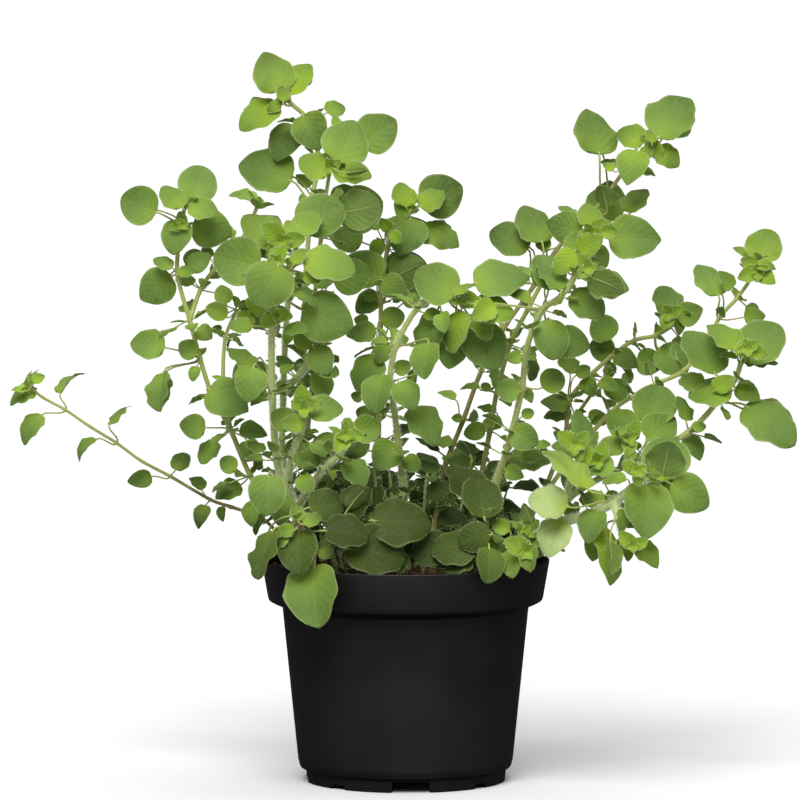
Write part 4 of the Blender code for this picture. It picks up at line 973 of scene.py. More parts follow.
print("points along the first stem:", len(smooth_line(plant[0].lines[0])[0]))

# %% [markdown]
# ## The leaf
# An oregano leaf is a rounded oval with a short blunt tip. Its two halves fold up a little from the
# midrib, the margin waves, and the tip bends back. The upper and the lower side meet in a thin
# margin, so the blade is closed. The same formula also says where the hairs on the margin stand.

# %% The form of a leaf
# A blade's thickness, its width beside that of its CAD solid, and the power of its outline's base
THICK = 0.42
FULL_BLADE = 1.07
BASE_POWER = 0.46

# The sides of a stalk, its points up to the blade, those of the midrib as shares of the blade, and
# its radius at each point beside the petiole's
STALK_SIDES = 5
STALK_STEPS = 7
MIDRIB_SHARES = np.array([0.08, 0.3, 0.55, 0.82])
STALK_RADII = np.array([1.2, 1.0, 0.9, 0.85, 0.85, 0.88, 0.9, 0.8, 0.6, 0.4, 0.15])


@dataclass
class Form:
    """How one leaf is bent: fold, cup, wave, its phase, droop of the tip, sideways bend, and point."""
    fold: float
    cup: float
    wave: float
    phase: float
    droop: float
    bend: float
    point: float


def outline(t, point):
    """Half a leaf's width at t, as a share of the greatest: t^a (1-t)^b over its value at a / (a+b)."""
    a, b = BASE_POWER, point
    widest = (a / (a + b)) ** a * (b / (a + b)) ** b
    return t ** a * (1 - t) ** b / widest


def blade_points(leaf, form, along, across, side=1):
    """Points of a leaf at shares `along` its length (0 to 1) and `across` it (-1 to 1).

    A point is base + axis L t + across w v + face h, with w the half width at t and
    h = w (fold |v| - cup v^2 + wave v^4 sin(15 t + phase)) - L (arch t^2 + droop t^5).
    """
    t, v = np.broadcast_arrays(along, across)
    half = leaf.width / 2 * FULL_BLADE * outline(np.clip(t, 0, 1), form.point)
    height = half * (form.fold * np.abs(v) - form.cup * v ** 2
                     + form.wave * v ** 4 * np.sin(15 * t + form.phase * (1 + (v > 0))))
    height -= leaf.length * (leaf.arch * t ** 2 + form.droop * t ** 5)
    if side < 0:
        height = height - THICK * (1 - v ** 2)
    out = np.cross(leaf.axis, leaf.face)
    aside = half * v + form.bend * leaf.length * t ** 2
    return (leaf.base + leaf.axis * (leaf.length * t)[..., None] + out * aside[..., None]
            + leaf.face * height[..., None])


def leaf_skin(leaf, form, rows, columns, look):
    """A closed blade: each ring runs over the upper side and back under the lower one.

    The faces of the lower side start one corner later, so that both sides are split along the same
    diagonal and don't cut through each other near the margin, where the blade is thin.
    """
    t = np.arange(1, rows) / rows
    t = 0.3 * t + 0.7 * (1 - np.cos(np.pi * t)) / 2
    over = np.linspace(-1, 1, columns + 1)
    under = over[-2:0:-1]
    upper = blade_points(leaf, form, t[:, None], over)
    lower = blade_points(leaf, form, t[:, None], under, side=-1)
    rings = np.concatenate([upper, lower], axis=1)
    ends = blade_points(leaf, form, np.array([0.0, 1.0]), np.zeros(2))
    blade = np.full(rings.shape, leaf.length)
    blade[..., 0] = t[:, None]
    blade[..., 1] = np.concatenate([over, under])
    blade = np.concatenate([blade.reshape(-1, 3), [(0, 0, leaf.length), (1, 0, leaf.length)]])
    skin = closed_skin(rings, ends[0], ends[1], look, blade)
    column = np.arange(2 * columns)
    skin.look[:-2, 2] = np.tile(column > columns, len(t))
    beneath = np.tile(column >= columns, len(t) - 1)
    skin.quads[beneath] = np.roll(skin.quads[beneath], -1, axis=1)
    return skin


def stalk_skin(leaf, form, joint, thick, look):
    """The petiole, a cubic curve from the stem to the blade, and the midrib under the blade.

    From just before the blade on it is green, however brown the petiole is.
    """
    start = joint + 0.35 * (leaf.root - joint)
    reach = np.linalg.norm(leaf.base - leaf.root)
    out = leaf.root - joint
    out = unit(out) if np.linalg.norm(out) > 0.1 else leaf.axis
    t = np.linspace(0, 1, STALK_STEPS)[:, None]
    steps = (start, start + out * reach * 0.3, leaf.base - leaf.axis * reach * 0.33, leaf.base)
    petiole = (1 - t) ** 3 * steps[0] + 3 * t * (1 - t) ** 2 * steps[1] \
        + 3 * t ** 2 * (1 - t) * steps[2] + t ** 3 * steps[3]
    midrib = blade_points(leaf, form, MIDRIB_SHARES, np.zeros(len(MIDRIB_SHARES)), side=-1)
    skin = tube(np.concatenate([petiole, midrib]), thick * STALK_RADII, STALK_SIDES, look)
    skin.look[STALK_SIDES * (STALK_STEPS - 2):, 0] = 0.0
    return skin


print("a leaf is widest at this share of its length:", round(BASE_POWER / (BASE_POWER + 0.7), 2))

# %% [markdown]
# ## Down and hairs
# Oregano is hairy: long pale hairs stand off its stems, and short ones fringe its leaves. Each hair
# is a thin pyramid of four faces, which is as little as a closed shape can have, because there are
# many thousands of them.

# %% Hairs
# The radius of a hair at its foot
HAIR = 0.05


def hairs(places, ways, lengths, look):
    """Thin pyramids: three points round each place, and a fourth at place + way * length."""
    ways = ways / np.linalg.norm(ways, axis=1, keepdims=True)
    side = np.cross(ways, np.array([0.31, 0.52, 0.8]))
    side /= np.linalg.norm(side, axis=1, keepdims=True)
    other = np.cross(ways, side)
    feet = [places + HAIR * (math.cos(a) * side + math.sin(a) * other)
            for a in (0, 2 * math.pi / 3, 4 * math.pi / 3)]
    points = np.stack(feet + [places + ways * lengths[:, None]], axis=1).reshape(-1, 3)
    faces = np.array([(0, 1, 3), (1, 2, 3), (2, 0, 3), (0, 2, 1)])
    tris = (np.arange(len(places))[:, None, None] * 4 + faces).reshape(-1, 3)
    return Skin(points, np.zeros((0, 4), int), tris, look, finish=DOWN)


def hairs_round(line, radii, per_mm, length, rng, look, shares=(0.0, 1.0)):
    """Hairs all round a tube, as many to the millimetre as asked, between two shares of its length."""
    steps = np.linalg.norm(np.diff(line, axis=0), axis=1)
    passed = np.concatenate([[0], np.cumsum(steps)])
    count = int(passed[-1] * (shares[1] - shares[0]) * per_mm)
    spots = rng.uniform(shares[0] * passed[-1], shares[1] * passed[-1], count)
    along, side, other = line_frames(line)
    at = [np.stack([np.interp(spots, passed, values[:, k]) for k in range(3)], axis=1)
          for values in (line, along, side, other)]
    wide = np.interp(spots, passed, radii)[:, None]
    angle = rng.uniform(0, 2 * math.pi, count)[:, None]
    out = at[2] * np.cos(angle) + at[3] * np.sin(angle)
    ways = out + at[1] * rng.normal(0.1, 0.25, (count, 1)) + rng.normal(0, 0.2, (count, 3))
    return hairs(at[0] + out * wide * 0.9, ways, length * rng.uniform(0.5, 1.15, count), look)


def hairs_on_margin(leaf, form, per_mm, length, rng, look):
    """Hairs that fringe a leaf: they point outwards and a little to its tip."""
    count = int(leaf.length * 2.2 * per_mm)
    t = rng.uniform(0.03, 0.98, count)
    v = rng.choice([-1.0, 1.0], count)
    places = blade_points(leaf, form, t, v * 0.99)
    out = np.cross(leaf.axis, leaf.face) * v[:, None] * (1.05 - t)[:, None]
    ways = out + leaf.axis * (0.15 + t ** 2)[:, None] + rng.normal(0, 0.3, (count, 3))
    return hairs(places, ways, length * rng.uniform(0.5, 1.2, count), look)


tuft = hairs(np.zeros((10, 3)), np.tile(UP, (10, 1)), np.ones(10), (0, 0, 0, 0))
print("ten hairs have", len(tuft.tris), "faces")

# %% [markdown]
# ## Colours that leaves share
# A leaf reads as a leaf through small things: the paler midrib and side veins with the blade
# puffed up between them, the yellow-green at its base, the pale down at its margin and the greyer
# underside. The veins are a group of nodes, and so is the grain that bark, plastic and peat share.

# %% Helpers for nodes, and the groups for veins and grain
def feed(tree, made, values):
    """Set a node's sockets, in order or by name, from numbers, colours or other nodes' outputs."""
    for key, value in values.items() if isinstance(values, dict) else enumerate(values):
        if isinstance(value, bpy.types.NodeSocket):
            tree.links.new(value, made.inputs[key])
        else:
            made.inputs[key].default_value = value


def node(tree, kind, values=(), **settings):
    made = tree.nodes.new(kind)
    for name, value in settings.items():
        setattr(made, name, value)
    feed(tree, made, values)
    return made


def math_node(tree, operation, *values):
    return node(tree, "ShaderNodeMath", values, operation=operation).outputs[0]


def smooth_step(tree, value, low, high, start=0.0, end=1.0):
    """A value that goes smoothly from `start` to `end` while the given one goes from low to high."""
    values = (value, low, high, start, end)
    return node(tree, "ShaderNodeMapRange", values, interpolation_type="SMOOTHSTEP").outputs[0]


def mixed(tree, share, first, second):
    """A colour between two colours: the node has its colours as inputs 6 and 7, and as output 2."""
    return node(tree, "ShaderNodeMix", {0: share, 6: first, 7: second}, data_type="RGBA").outputs[2]


def noise(tree, place, scale, detail=3.0):
    values = {"Vector": place, "Scale": scale, "Detail": detail, "Roughness": 0.55}
    return node(tree, "ShaderNodeTexNoise", values).outputs["Fac"]


def new_group(name, inputs, outputs):
    """A node group of numbers, apart from an input called Place, with its given and result sockets."""
    group = bpy.data.node_groups.new(name, "ShaderNodeTree")
    for way, labels in (("INPUT", inputs), ("OUTPUT", outputs)):
        for label in labels:
            kind = "NodeSocketVector" if label == "Place" else "NodeSocketFloat"
            group.interface.new_socket(label, in_out=way, socket_type=kind)
    return group, node(group, "NodeGroupInput").outputs, node(group, "NodeGroupOutput").inputs


def vein_group():
    """Veins from a leaf's own coordinates.

    The midrib is where |v| is small. A side vein is where 5.5 (t - 0.42 |v|^1.2) is near a whole
    number, so it leaves the midrib forwards and curves to the tip. Between the veins the blade is
    raised by |v| (1 - |v|) and sin^2 of the same phase.
    """
    group, given, result = new_group("leaf_veins", ("Along", "Across"), ("Vein", "Relief"))
    calc, step = (partial(helper, group) for helper in (math_node, smooth_step))
    v = calc("ABSOLUTE", given[1])
    slope = calc("MULTIPLY", calc("POWER", v, 1.2), 0.42)
    phase = calc("MULTIPLY", calc("SUBTRACT", given[0], slope), 5.5 * math.pi)
    wave = calc("ABSOLUTE", calc("COSINE", phase))
    side = calc("MULTIPLY", step(wave, 0.955, 0.995), step(v, 0.8, 0.4))
    narrow = calc("MULTIPLY_ADD", given[0], -0.05, 0.085)
    midrib = step(v, narrow, 0.015)
    group.links.new(calc("MAXIMUM", calc("MULTIPLY", side, 0.6), midrib), result[0])
    puff = calc("SUBTRACT", 1.0, calc("POWER", wave, 2.0))
    rest = calc("SUBTRACT", 1.0, v)
    body = calc("MULTIPLY", calc("MULTIPLY", v, rest), 4.0)
    raised = calc("MULTIPLY", puff, body)
    group.links.new(calc("SUBTRACT", raised, calc("MULTIPLY", midrib, 0.9)), result[1])
    return group


def grain_group():
    """Fine uneven grain for a moulded or fibrous surface: two sizes of noise, as a mask and a height."""
    group, given, result = new_group("grain", ("Place", "Fine", "Broad"), ("Mask", "Height"))
    fine, broad = (node(group, "ShaderNodeTexNoise", {"Vector": given[0], "Scale": scale}).outputs["Fac"]
                   for scale in (given[1], given[2]))
    group.links.new(broad, result[0])
    group.links.new(math_node(group, "MULTIPLY_ADD", broad, 0.4, fine), result[1])
    return group


VEINS = vein_group()
GRAIN = grain_group()
print("node groups:", VEINS.name, GRAIN.name)

# %% [markdown]
# ## Leaf, stem and hair finishes
# Young leaves are a fresh yellow-green, grown ones a plain mid green, and the old ones low down are
# dark and dull; leaves low down, inside and at the back of the plant also get a painted shade. The
# look that each skin carries says which one a leaf is. Down scatters light at a low angle, so the
# shader has sheen, and thin leaves let some light through. The hairs have a painted glow.

# %% Leaf, stem and hair materials
GREENS = {
    "mature": (0.207, 0.336, 0.057, 1),
    "tip": (0.145, 0.242, 0.048, 1),
    "young": (0.315, 0.480, 0.030, 1),
    # old also shows the painted shade of low leaves
    "old": (0.035, 0.049, 0.007, 1),
    "pale": (0.600, 0.740, 0.300, 1),
    # dark shows the blotches and the painted shade inside, behind and low in the plant
    "dark": (0.035, 0.060, 0.012, 1),
    "base": (0.330, 0.450, 0.025, 1),
    "vein": (0.280, 0.370, 0.070, 1),
    "beneath": (0.210, 0.290, 0.085, 1),
    "down": (0.340, 0.430, 0.150, 1),
}
BARKS = {"green": (0.40, 0.47, 0.10, 1), "brown": (0.27, 0.20, 0.06, 1), "pale": (0.60, 0.66, 0.32, 1)}


def surface(name, values):
    """A new material, its tree and its shader, with the values that are the same all over."""
    material = bpy.data.materials.new(name)
    material.use_nodes = True
    tree = material.node_tree
    shader = tree.nodes["Principled BSDF"]
    feed(tree, shader, values)
    return material, tree, shader


def look_of(tree):
    """The four values of each point's look."""
    look = node(tree, "ShaderNodeAttribute", attribute_name="look").outputs
    return *node(tree, "ShaderNodeSeparateColor", [look["Color"]]).outputs, look["Alpha"]


def object_place(tree):
    return node(tree, "ShaderNodeTexCoord").outputs["Object"]


def grain_of(tree, fine, broad):
    """The mask and the height of the grain, with noise of two scales."""
    return node(tree, "ShaderNodeGroup", node_tree=GRAIN, values=[object_place(tree), fine, broad]).outputs


def add_bump(tree, shader, height, strength, distance):
    bump = node(tree, "ShaderNodeBump", {"Strength": strength, "Distance": distance, "Height": height})
    tree.links.new(bump.outputs["Normal"], shader.inputs["Normal"])


def leaf_material():
    """Green by youth and age, paler at the base, veins, fringe and beneath, darker by blotches and painted
    shade.
    """
    material, tree, shader = surface("oregano_leaf", {
        "Sheen Weight": 0.06, "Sheen Roughness": 0.45, "Sheen Tint": (0.85, 0.95, 0.7, 1),
        "Subsurface Weight": 0.1, "Subsurface Radius": (0.5, 1.0, 0.2), "Subsurface Scale": 0.0015,
        "Specular IOR Level": 0.14})
    calc, step, mix = (partial(helper, tree) for helper in (math_node, smooth_step, mixed))
    youth, tone, beneath, age = look_of(tree)
    own = node(tree, "ShaderNodeAttribute", attribute_name="blade").outputs["Vector"]
    t, v, _ = node(tree, "ShaderNodeSeparateXYZ", [own]).outputs
    across = calc("ABSOLUTE", v)
    place = object_place(tree)
    vein, relief = node(tree, "ShaderNodeGroup", node_tree=VEINS, values=[t, v]).outputs
    blotch = noise(tree, place, 90.0)
    cells = noise(tree, place, 900.0, 2.0)

    towards_tip = step(calc("MULTIPLY_ADD", blotch, 0.5, t), 0.35, 1.0)
    grown = mix(towards_tip, GREENS["mature"], GREENS["tip"])
    fading = calc("MULTIPLY", youth, step(t, 0.1, 1.0, 1.0, 0.45))
    colour = mix(fading, grown, GREENS["young"])
    colour = mix(step(youth, 1.05, 1.9), colour, GREENS["pale"])
    # The age brings in the old colour, which for low leaves is partly a painted shade
    colour = mix(age, colour, GREENS["old"])
    # Painted shade: the tone holds each leaf's own tone and a painted shade; the blotches and the darker tip
    # are the leaf's own
    shade = calc("MULTIPLY_ADD", blotch, 0.6, calc("SUBTRACT", tone, 0.3))
    shade = calc("SUBTRACT", shade, step(t, 0.35, 1.0, 0.0, 0.14))
    colour = mix(step(shade, 0.7, 0.0, 0.0, 0.85), colour, GREENS["dark"])
    reach = calc("MULTIPLY_ADD", across, 0.25, t)
    near_base = step(reach, 0.55, 0.0)
    fresh = calc("MULTIPLY_ADD", youth, 0.5, 0.25)
    fresh = calc("MULTIPLY", fresh, calc("SUBTRACT", 1.0, age))
    colour = mix(calc("MULTIPLY", near_base, fresh), colour, GREENS["base"])
    plain = calc("MULTIPLY_ADD", age, -0.09, 0.16)
    colour = mix(calc("MULTIPLY", vein, plain), colour, GREENS["vein"])
    downy = calc("MULTIPLY_ADD", age, -0.7, 1.0)
    downy = calc("MULTIPLY", step(cells, 0.45, 0.75, 0.0, 0.16), downy)
    colour = mix(downy, colour, GREENS["down"])
    colour = mix(calc("MULTIPLY", beneath, 0.5), colour, GREENS["beneath"])
    fringe = calc("MULTIPLY", step(across, 0.88, 1.0), calc("MULTIPLY_ADD", age, -0.4, 0.6))
    colour = mix(fringe, colour, GREENS["down"])
    tree.links.new(colour, shader.inputs["Base Color"])
    tree.links.new(step(cells, 0.2, 0.8, 0.5, 0.68), shader.inputs["Roughness"])
    add_bump(tree, shader, calc("MULTIPLY_ADD", cells, 0.6, relief), 0.25, 0.0005)
    return material


def stem_material():
    """The look's first channel turns a stem from green to brown, and the second one makes it pale."""
    material, tree, shader = surface("oregano_stem", {
        "Roughness": 0.55, "Sheen Weight": 0.4, "Subsurface Weight": 0.08, "Subsurface Scale": 0.001})
    brown, tone, *_ = look_of(tree)
    mask, height = grain_of(tree, 1400.0, 60.0)
    worn = math_node(tree, "MULTIPLY_ADD", mask, 0.8, math_node(tree, "SUBTRACT", brown, 0.4))
    colour = mixed(tree, smooth_step(tree, worn, 0.2, 0.8), BARKS["green"], BARKS["brown"])
    colour = mixed(tree, smooth_step(tree, tone, 0.5, 1.0, 0.0, 0.6), colour, BARKS["pale"])
    tree.links.new(colour, shader.inputs["Base Color"])
    add_bump(tree, shader, height, 0.3, 0.0002)
    return material


def hair_material():
    """Hairs have a painted glow, an emission for the light that shines through them, and are whiter on young
    leaves.
    """
    # Painted glow: the emission stands in for light through the hairs
    material, tree, shader = surface("oregano_down", {
        "Roughness": 0.6, "Emission Color": (0.75, 0.85, 0.6, 1), "Emission Strength": 0.3})
    youth, *_ = look_of(tree)
    colour = mixed(tree, youth, (0.55, 0.62, 0.38, 1), (0.88, 0.93, 0.72, 1))
    tree.links.new(colour, shader.inputs["Base Color"])
    return material


FOLIAGE = [leaf_material(), stem_material(), hair_material()]
print("foliage finishes:", [material.name for material in FOLIAGE])

# %% [markdown]
# ## How stems and leaves differ
# Some stems are thick and shaggy with white hairs, others thin, brown and nearly bare. Leaves are
# young and bright at the tips and old and dark low down. Low down, inside the plant and at its
# back, where little light reaches them, they also get a painted shade, and those left of the middle
# a painted lightening. These tables and rules give each stem and each leaf its look and its form.

# %% How each stem looks
@dataclass
class StemLook:
    """Hairs to the millimetre and their length, how brown, pale and thick, and leaves at a joint."""
    hair: float = 5.0
    length: float = 0.8
    brown: float = 0.3
    pale: float = 0.2
    thick: float = 1.0
    leafy: int = 4


STEM_LOOKS = {
    "stem_hairy_pair": StemLook(32, 1.9, 0.0, 0.8, 1.3, 8),
    "stem_centre": StemLook(26, 1.7, 0.15, 0.65, 1.05, 6),
    "stem_hairy_right": StemLook(20, 1.5, 0.15, 0.6, 1.05, 4),
    "stem_right_arched": StemLook(20, 1.6, 0.05, 0.6, 1.05, 4),
    "stem_right_front": StemLook(36, 2.0, -0.4, 1.0, 1.6, 3),
    "stem_brown": StemLook(4, 0.7, 0.55, 0.1, 0.95, 4),
    "stem_left": StemLook(6, 0.9, 0.1, 0.3, 1.0, 5),
    "stem_tallest": StemLook(12, 1.2, 0.1, 0.5, 1.0, 6),
    "stem_centre_back": StemLook(8, 0.9, 0.2, 0.3, 1.0, 6),
    "stem_left_trailing": StemLook(5, 0.7, 0.3, 0.2, 0.72, 0),
    "stem_right_back": StemLook(4, 0.8, 0.35, 0.1, 0.95, 4),
    "stem_right_far": StemLook(6, 0.9, 0.2, 0.2, 0.9, 4),
}

# Where nearly white leaves are seen, and leaves that are younger or older than their size says
PALE_REACH, BRIGHT_REACH = 4, 2
PALE_PLACES = [(64, 126), (73.5, 142), (66.5, 110)]
BRIGHT_PLACES = [
    (-48, 317, 0.95), (-60, 320, 0.35), (-66, 300.5, 0.8), (-41, 277.5, 0.8), (-24, 275, 0.7),
    (-26, 289, 0.15), (-0.6, 265.2, 0.9), (12, 262.8, 0.75), (16.5, 246.5, 0.5), (-63.5, 250.5, 0.5),
    (-34, 234, 0.35),
    (-45, 252, 0.4), (40, 214.3, 0.95), (21.5, 203, 0.85), (33, 205, 0.9), (13, 225, 0.2), (101, 291, 0.8),
    (118, 282, 0.8), (101.5, 276.8, 0.35), (83, 256, 0.7), (77, 241, 0.6), (161, 242, 0.55), (143, 201, 0.5),
    (160, 190, 0.6), (137, 176.3, 0.5), (93.3, 103.5, 1.0), (109, 102, 0.8), (73.5, 142, 1.3), (48, 98, 0.3),
    (-104.5, 264, 0.3), (-91, 258, 0.3)]
LOW_SHOOTS = ("shoot_front", "shoot_centre", "shoot_back")

# Leaf lengths: grown, youngest and least old, and the rows and columns of leaves by their length
GROWN = 15.0
YOUNGEST = 6.0
OLD_LEAF = 10.0
LEAF_GRIDS = [(17.0, 14, 6), (9.0, 10, 4), (0.0, 7, 4)]

# Painted shade: the heights of a low leaf's tip over which its shade grows, and where it grows inside and
# behind the plant
TIP_SHADE_HEIGHTS = (78, 108)
INSIDE_SHADE_DEPTH = (-45, 15)
INSIDE_SHADE_HEIGHT = (165, 115)
BEHIND_SHADE_DEPTH = (5, 35)


def ramp(value, start, end):
    """How far a value is from start to end, as a share between 0 and 1."""
    return np.clip((value - start) / (end - start), 0, 1)


def seen_place(point):
    """Where a point is seen in the upright plane through the pot's axis."""
    share = -EYE[1] / (point[1] - EYE[1])
    return EYE[0] + (point[0] - EYE[0]) * share, EYE[2] + (point[2] - EYE[2]) * share


def leaf_look(name, leaf, near_tip, rng):
    """How young, light and old a leaf is: young at the tips, old low down, and dark inside.

    Leaves low down, inside the plant and at its back get a painted shade: a lower tone, and for low
    leaves more of the old colour, less where a low leaf hangs over the rim into the light. Leaves left
    of the middle get a painted lightening: a higher tone.
    """
    x, z = seen_place(leaf.base + leaf.axis * leaf.length / 2)
    youth = ramp(leaf.length, GROWN, YOUNGEST) * (0.9 if near_tip else 0.35) + rng.uniform(-0.05, 0.2)
    if any(math.hypot(x - px, z - pz) < PALE_REACH for px, pz in PALE_PLACES):
        youth = 1.7
    youth = next((bright for px, pz, bright in BRIGHT_PLACES
                  if math.hypot(x - px, z - pz) < BRIGHT_REACH), youth)
    low = name.startswith(LOW_SHOOTS)
    age = rng.uniform(0.8, 1.0) if low and leaf.length > OLD_LEAF else rng.uniform(0, 0.25)
    tip = leaf.base + leaf.axis * leaf.length
    # Painted shade on low leaves: more of the old colour and a lower tone, least where the tip hangs low
    shaded = max(0.2, ramp(tip[2], *TIP_SHADE_HEIGHTS)) if low else 0
    age *= shaded if low else 1
    # Painted shade inside the plant and at its back: a lower tone
    inside = ramp(leaf.base[1], *INSIDE_SHADE_DEPTH) * ramp(leaf.base[2], *INSIDE_SHADE_HEIGHT)
    # Painted lightening: leaves left of the middle get a higher tone
    tone = rng.normal(0.7, 0.09) + (0.07 if x < -15 else 0)
    tone -= 0.55 * inside + 0.16 * ramp(leaf.base[1], *BEHIND_SHADE_DEPTH) + 0.12 * shaded
    return (max(0.0, youth) * (0.5 if low else 1), tone, 0.0, age)


def leaf_form(leaf, name, rng):
    """How a leaf is bent: small ones are folded most, and the trailing stem's leaves curl."""
    small = ramp(leaf.length, GROWN, YOUNGEST)
    curl = 0.25 if name == "stem_left_trailing" else 0.0
    points = (0.54, 0.7) if name.startswith(LOW_SHOOTS) else (0.6, 0.85)
    return Form(fold=rng.uniform(0.08, 0.34) + 0.3 * small, cup=rng.uniform(-0.12, 0.36),
                wave=rng.uniform(0.05, 0.16), phase=rng.uniform(0, 6), droop=rng.uniform(0.02, 0.1) + curl,
                bend=rng.normal(0, 0.03), point=rng.uniform(*points))


print("stems with looks of their own:", len(STEM_LOOKS), "of", len(plant))

# %% [markdown]
# ## Small leaves at joints and tips
# Young leaves sit at every joint and in crossed pairs at every tip. They are too small for the
# tables, so their sizes and directions are drawn at random. A leaf at a joint, and the outer pair at
# a tip, are kept only where they cross nothing that is in place.

# %% Leaves with their stalks and fringes, and the small ones
# The turns of the leaves round a joint in half circles, and the length and lean of each pair at a tip
HAND_TURNS = (0, 1, 0.5, 1.5, 0.25, 1.25, 0.75, 1.75)
TIP_PAIRS = ((8.0, 1.5), (6.0, 0.9), (4.0, 0.45))


def leaf_parts(name, leaf, joint, look, rng, down):
    """A leaf's blade, its stalk with the midrib, and its fringe."""
    form = leaf_form(leaf, name, rng)
    grid = next(grid for least, *grid in LEAF_GRIDS if leaf.length >= least)
    young = min(1.0, look[0])
    thick = 0.3 + 0.012 * leaf.length
    return [leaf_skin(leaf, form, *grid, look),
            stalk_skin(leaf, form, joint, thick, (0.15 + 0.5 * rng.random() * (1 - young), 0.3, 0, 0)),
            hairs_on_margin(leaf, form, down, 0.45 + 0.3 * young, rng, (young, 0, 0, 0))]


def clear_of_all(leaf):
    """True where a small leaf crosses nothing that is in place, and then it is in place too."""
    out = unit(leaf.axis + leaf.face * 0.2)
    across, up = stalk_frame(leaf, leaf.axis)
    foot = leaf.root + out * 0.4
    corners = foot + 0.25 * np.array([across + up, across - up, -across - up, up - across])
    solid = leaf_mesh(corners, leaf, 0.7, 0.1)
    if cover.crosses(solid, lambda owner: True):
        return False
    cover.add("small", solid)
    return True


def small_leaf(place, way, face, length, stalk):
    """A leaf of a few millimetres from a place on a stem, with its upper face as given."""
    axis = unit(way)
    return Leaf(place, place + axis * stalk, axis, square_to(face, axis), length, length * 0.74, 0.1)


def tip_leaves(line, radius, rng):
    """Three crossed pairs of young leaves at the end of a shoot, the inner ones smaller and steeper."""
    along, side, other = (values[-1] for values in line_frames(line))
    turn = rng.uniform(0, math.pi)
    for pair, (length, lean) in enumerate(TIP_PAIRS):
        for hand in (0, math.pi):
            angle = turn + pair * math.pi / 2 + hand
            out = side * math.cos(angle) + other * math.sin(angle)
            leaf = small_leaf(line[-1] + along * pair * 0.9 + out * radius, along + out * lean,
                              along * 1.2 - out * 0.3, length * rng.uniform(0.75, 1.2), 0.8)
            if pair or clear_of_all(leaf):
                yield leaf, line[-1], (rng.uniform(0.8, 1.05), rng.uniform(0.75, 1.0), 0.0, 0.0)


def joint_leaves(line, first, radius, leafy, rng):
    """A pair of young leaves at each joint, and darker ones of middle size where there is room."""
    along, side, other = line_frames(line)
    for joint in range(first, len(line) - 1):
        low = ramp(line[joint][2], SOIL_TOP + 90, SOIL_TOP)
        turn = rng.uniform(0, math.pi)
        for number, hand in enumerate(HAND_TURNS[:leafy]):
            angle = turn + hand * math.pi
            out = side[joint] * math.cos(angle) + other[joint] * math.sin(angle)
            young = number < 2
            if young:
                length = rng.uniform(4.5, 8.0)
                way = out + along[joint] * rng.uniform(0.3, 0.9)
                face = along[joint] + UP * 0.4 - out * 0.2
                stalk = 1.0
            else:
                length = rng.uniform(6.5, 12.0)
                way = out + UP * rng.uniform(-0.3, 0.7)
                face = UP * 0.7 + rng.normal(0, 0.5, 3) - [0, 0.4, 0]
                stalk = rng.uniform(2, 6) * (1 if number < 4 else 1.6)
            leaf = small_leaf(line[joint] + out * (radius + 0.2), way, face, length, stalk)
            if clear_of_all(leaf):
                # Low on a stem leaves are less young and older, and a lower tone gives them a painted shade
                youth = rng.uniform(0.5, 1.0) * (1 - 0.5 * low) if young else rng.uniform(0.0, 0.35)
                yield leaf, line[joint], (youth, rng.normal(0.7, 0.1) - 0.3 * low, 0.0, 0.5 * low)


print("a joint of a plain stem has room for", StemLook().leafy, "small leaves")

# %% [markdown]
# ## Young clusters
# In front of the grown leaves the picture shows clusters of young ones, on side shoots too thin for
# the CAD model. Each cluster is put where it is seen, just in front of whatever stands there, and
# its shoot runs back to the nearest joint that it can reach without crossing a leaf.

# %% Clusters where they are seen
# A cluster has the x and z where it is seen, and the length and the number of its outer leaves
CLUSTERS = [
    (-60, 313.5, 8, 1), (-33, 277, 9, 4), (-44.5, 256.5, 10, 2), (-55, 244, 10, 3), (-58, 235, 7, 3),
    (-70, 211.5, 11, 2), (-58, 211, 7, 3), (-52, 203.5, 7, 2), (0, 264.5, 9, 2), (12.5, 263.5, 8, 2),
    (-7, 248.5, 6, 2), (24.5, 218.5, 9, 5), (40.5, 215.5, 12, 1), (109, 288.5, 8, 5), (83, 247.5, 9, 4),
    (76.5, 239.5, 11, 2), (82, 232, 7, 3), (158.5, 230.5, 8, 3), (118.5, 211, 7, 3), (154, 195.5, 9, 4),
    (101, 155, 8, 4), (86.5, 144.5, 9, 3), (76.5, 152, 9, 3), (104.5, 140, 7, 3), (102.5, 106, 7, 3),
    (55, 104, 9, 3), (-9, 194.5, 7, 3), (9.5, 179.5, 10, 1), (-26.5, 156.5, 8, 4), (-46, 168.5, 9, 4),
    (-100, 251, 7, 3), (138.5, 176, 9, 2)]

# How far before the first thing in sight a cluster is tried, and how far its shoot may reach
CLUSTER_STEPS = (3, 1.5, 6, 0, -2, 9)
FARTHEST = 24.0
NEAREST = 16


def thread(start, end, rng, radius=0.5, skip=2.2):
    """A thin hairy shoot between two places, or nothing if something stands in its way."""
    way = end - start
    length = np.linalg.norm(way)
    way = way / length
    across = unit(np.cross(way, UP + [0.1, 0.2, 0]))
    up = np.cross(across, way)
    corners = radius * np.array([across, up, -across, -up])
    points = np.vstack([start + way * min(skip, length * 0.4) + corners, end - way * 0.5 + corners])
    sides = [(0, 1, 2, 3), (7, 6, 5, 4)] + [(k, k + 4, (k + 1) % 4 + 4, (k + 1) % 4) for k in range(4)]
    if length > 3 and cover.crosses((points, sides), lambda owner: True):
        return None
    cover.add("small", (points, sides))
    line, _ = smooth_line(np.array([start, (start + end) / 2 + across * length * 0.02, end]))
    radii = radius * np.linspace(1.1, 0.8, len(line))
    return [tube(line, radii, 6, (0.3 * rng.random(), 0.5, 0, 0)),
            hairs_round(line, radii, 7.0, 0.8, rng, (0.7, 0, 0, 0))]


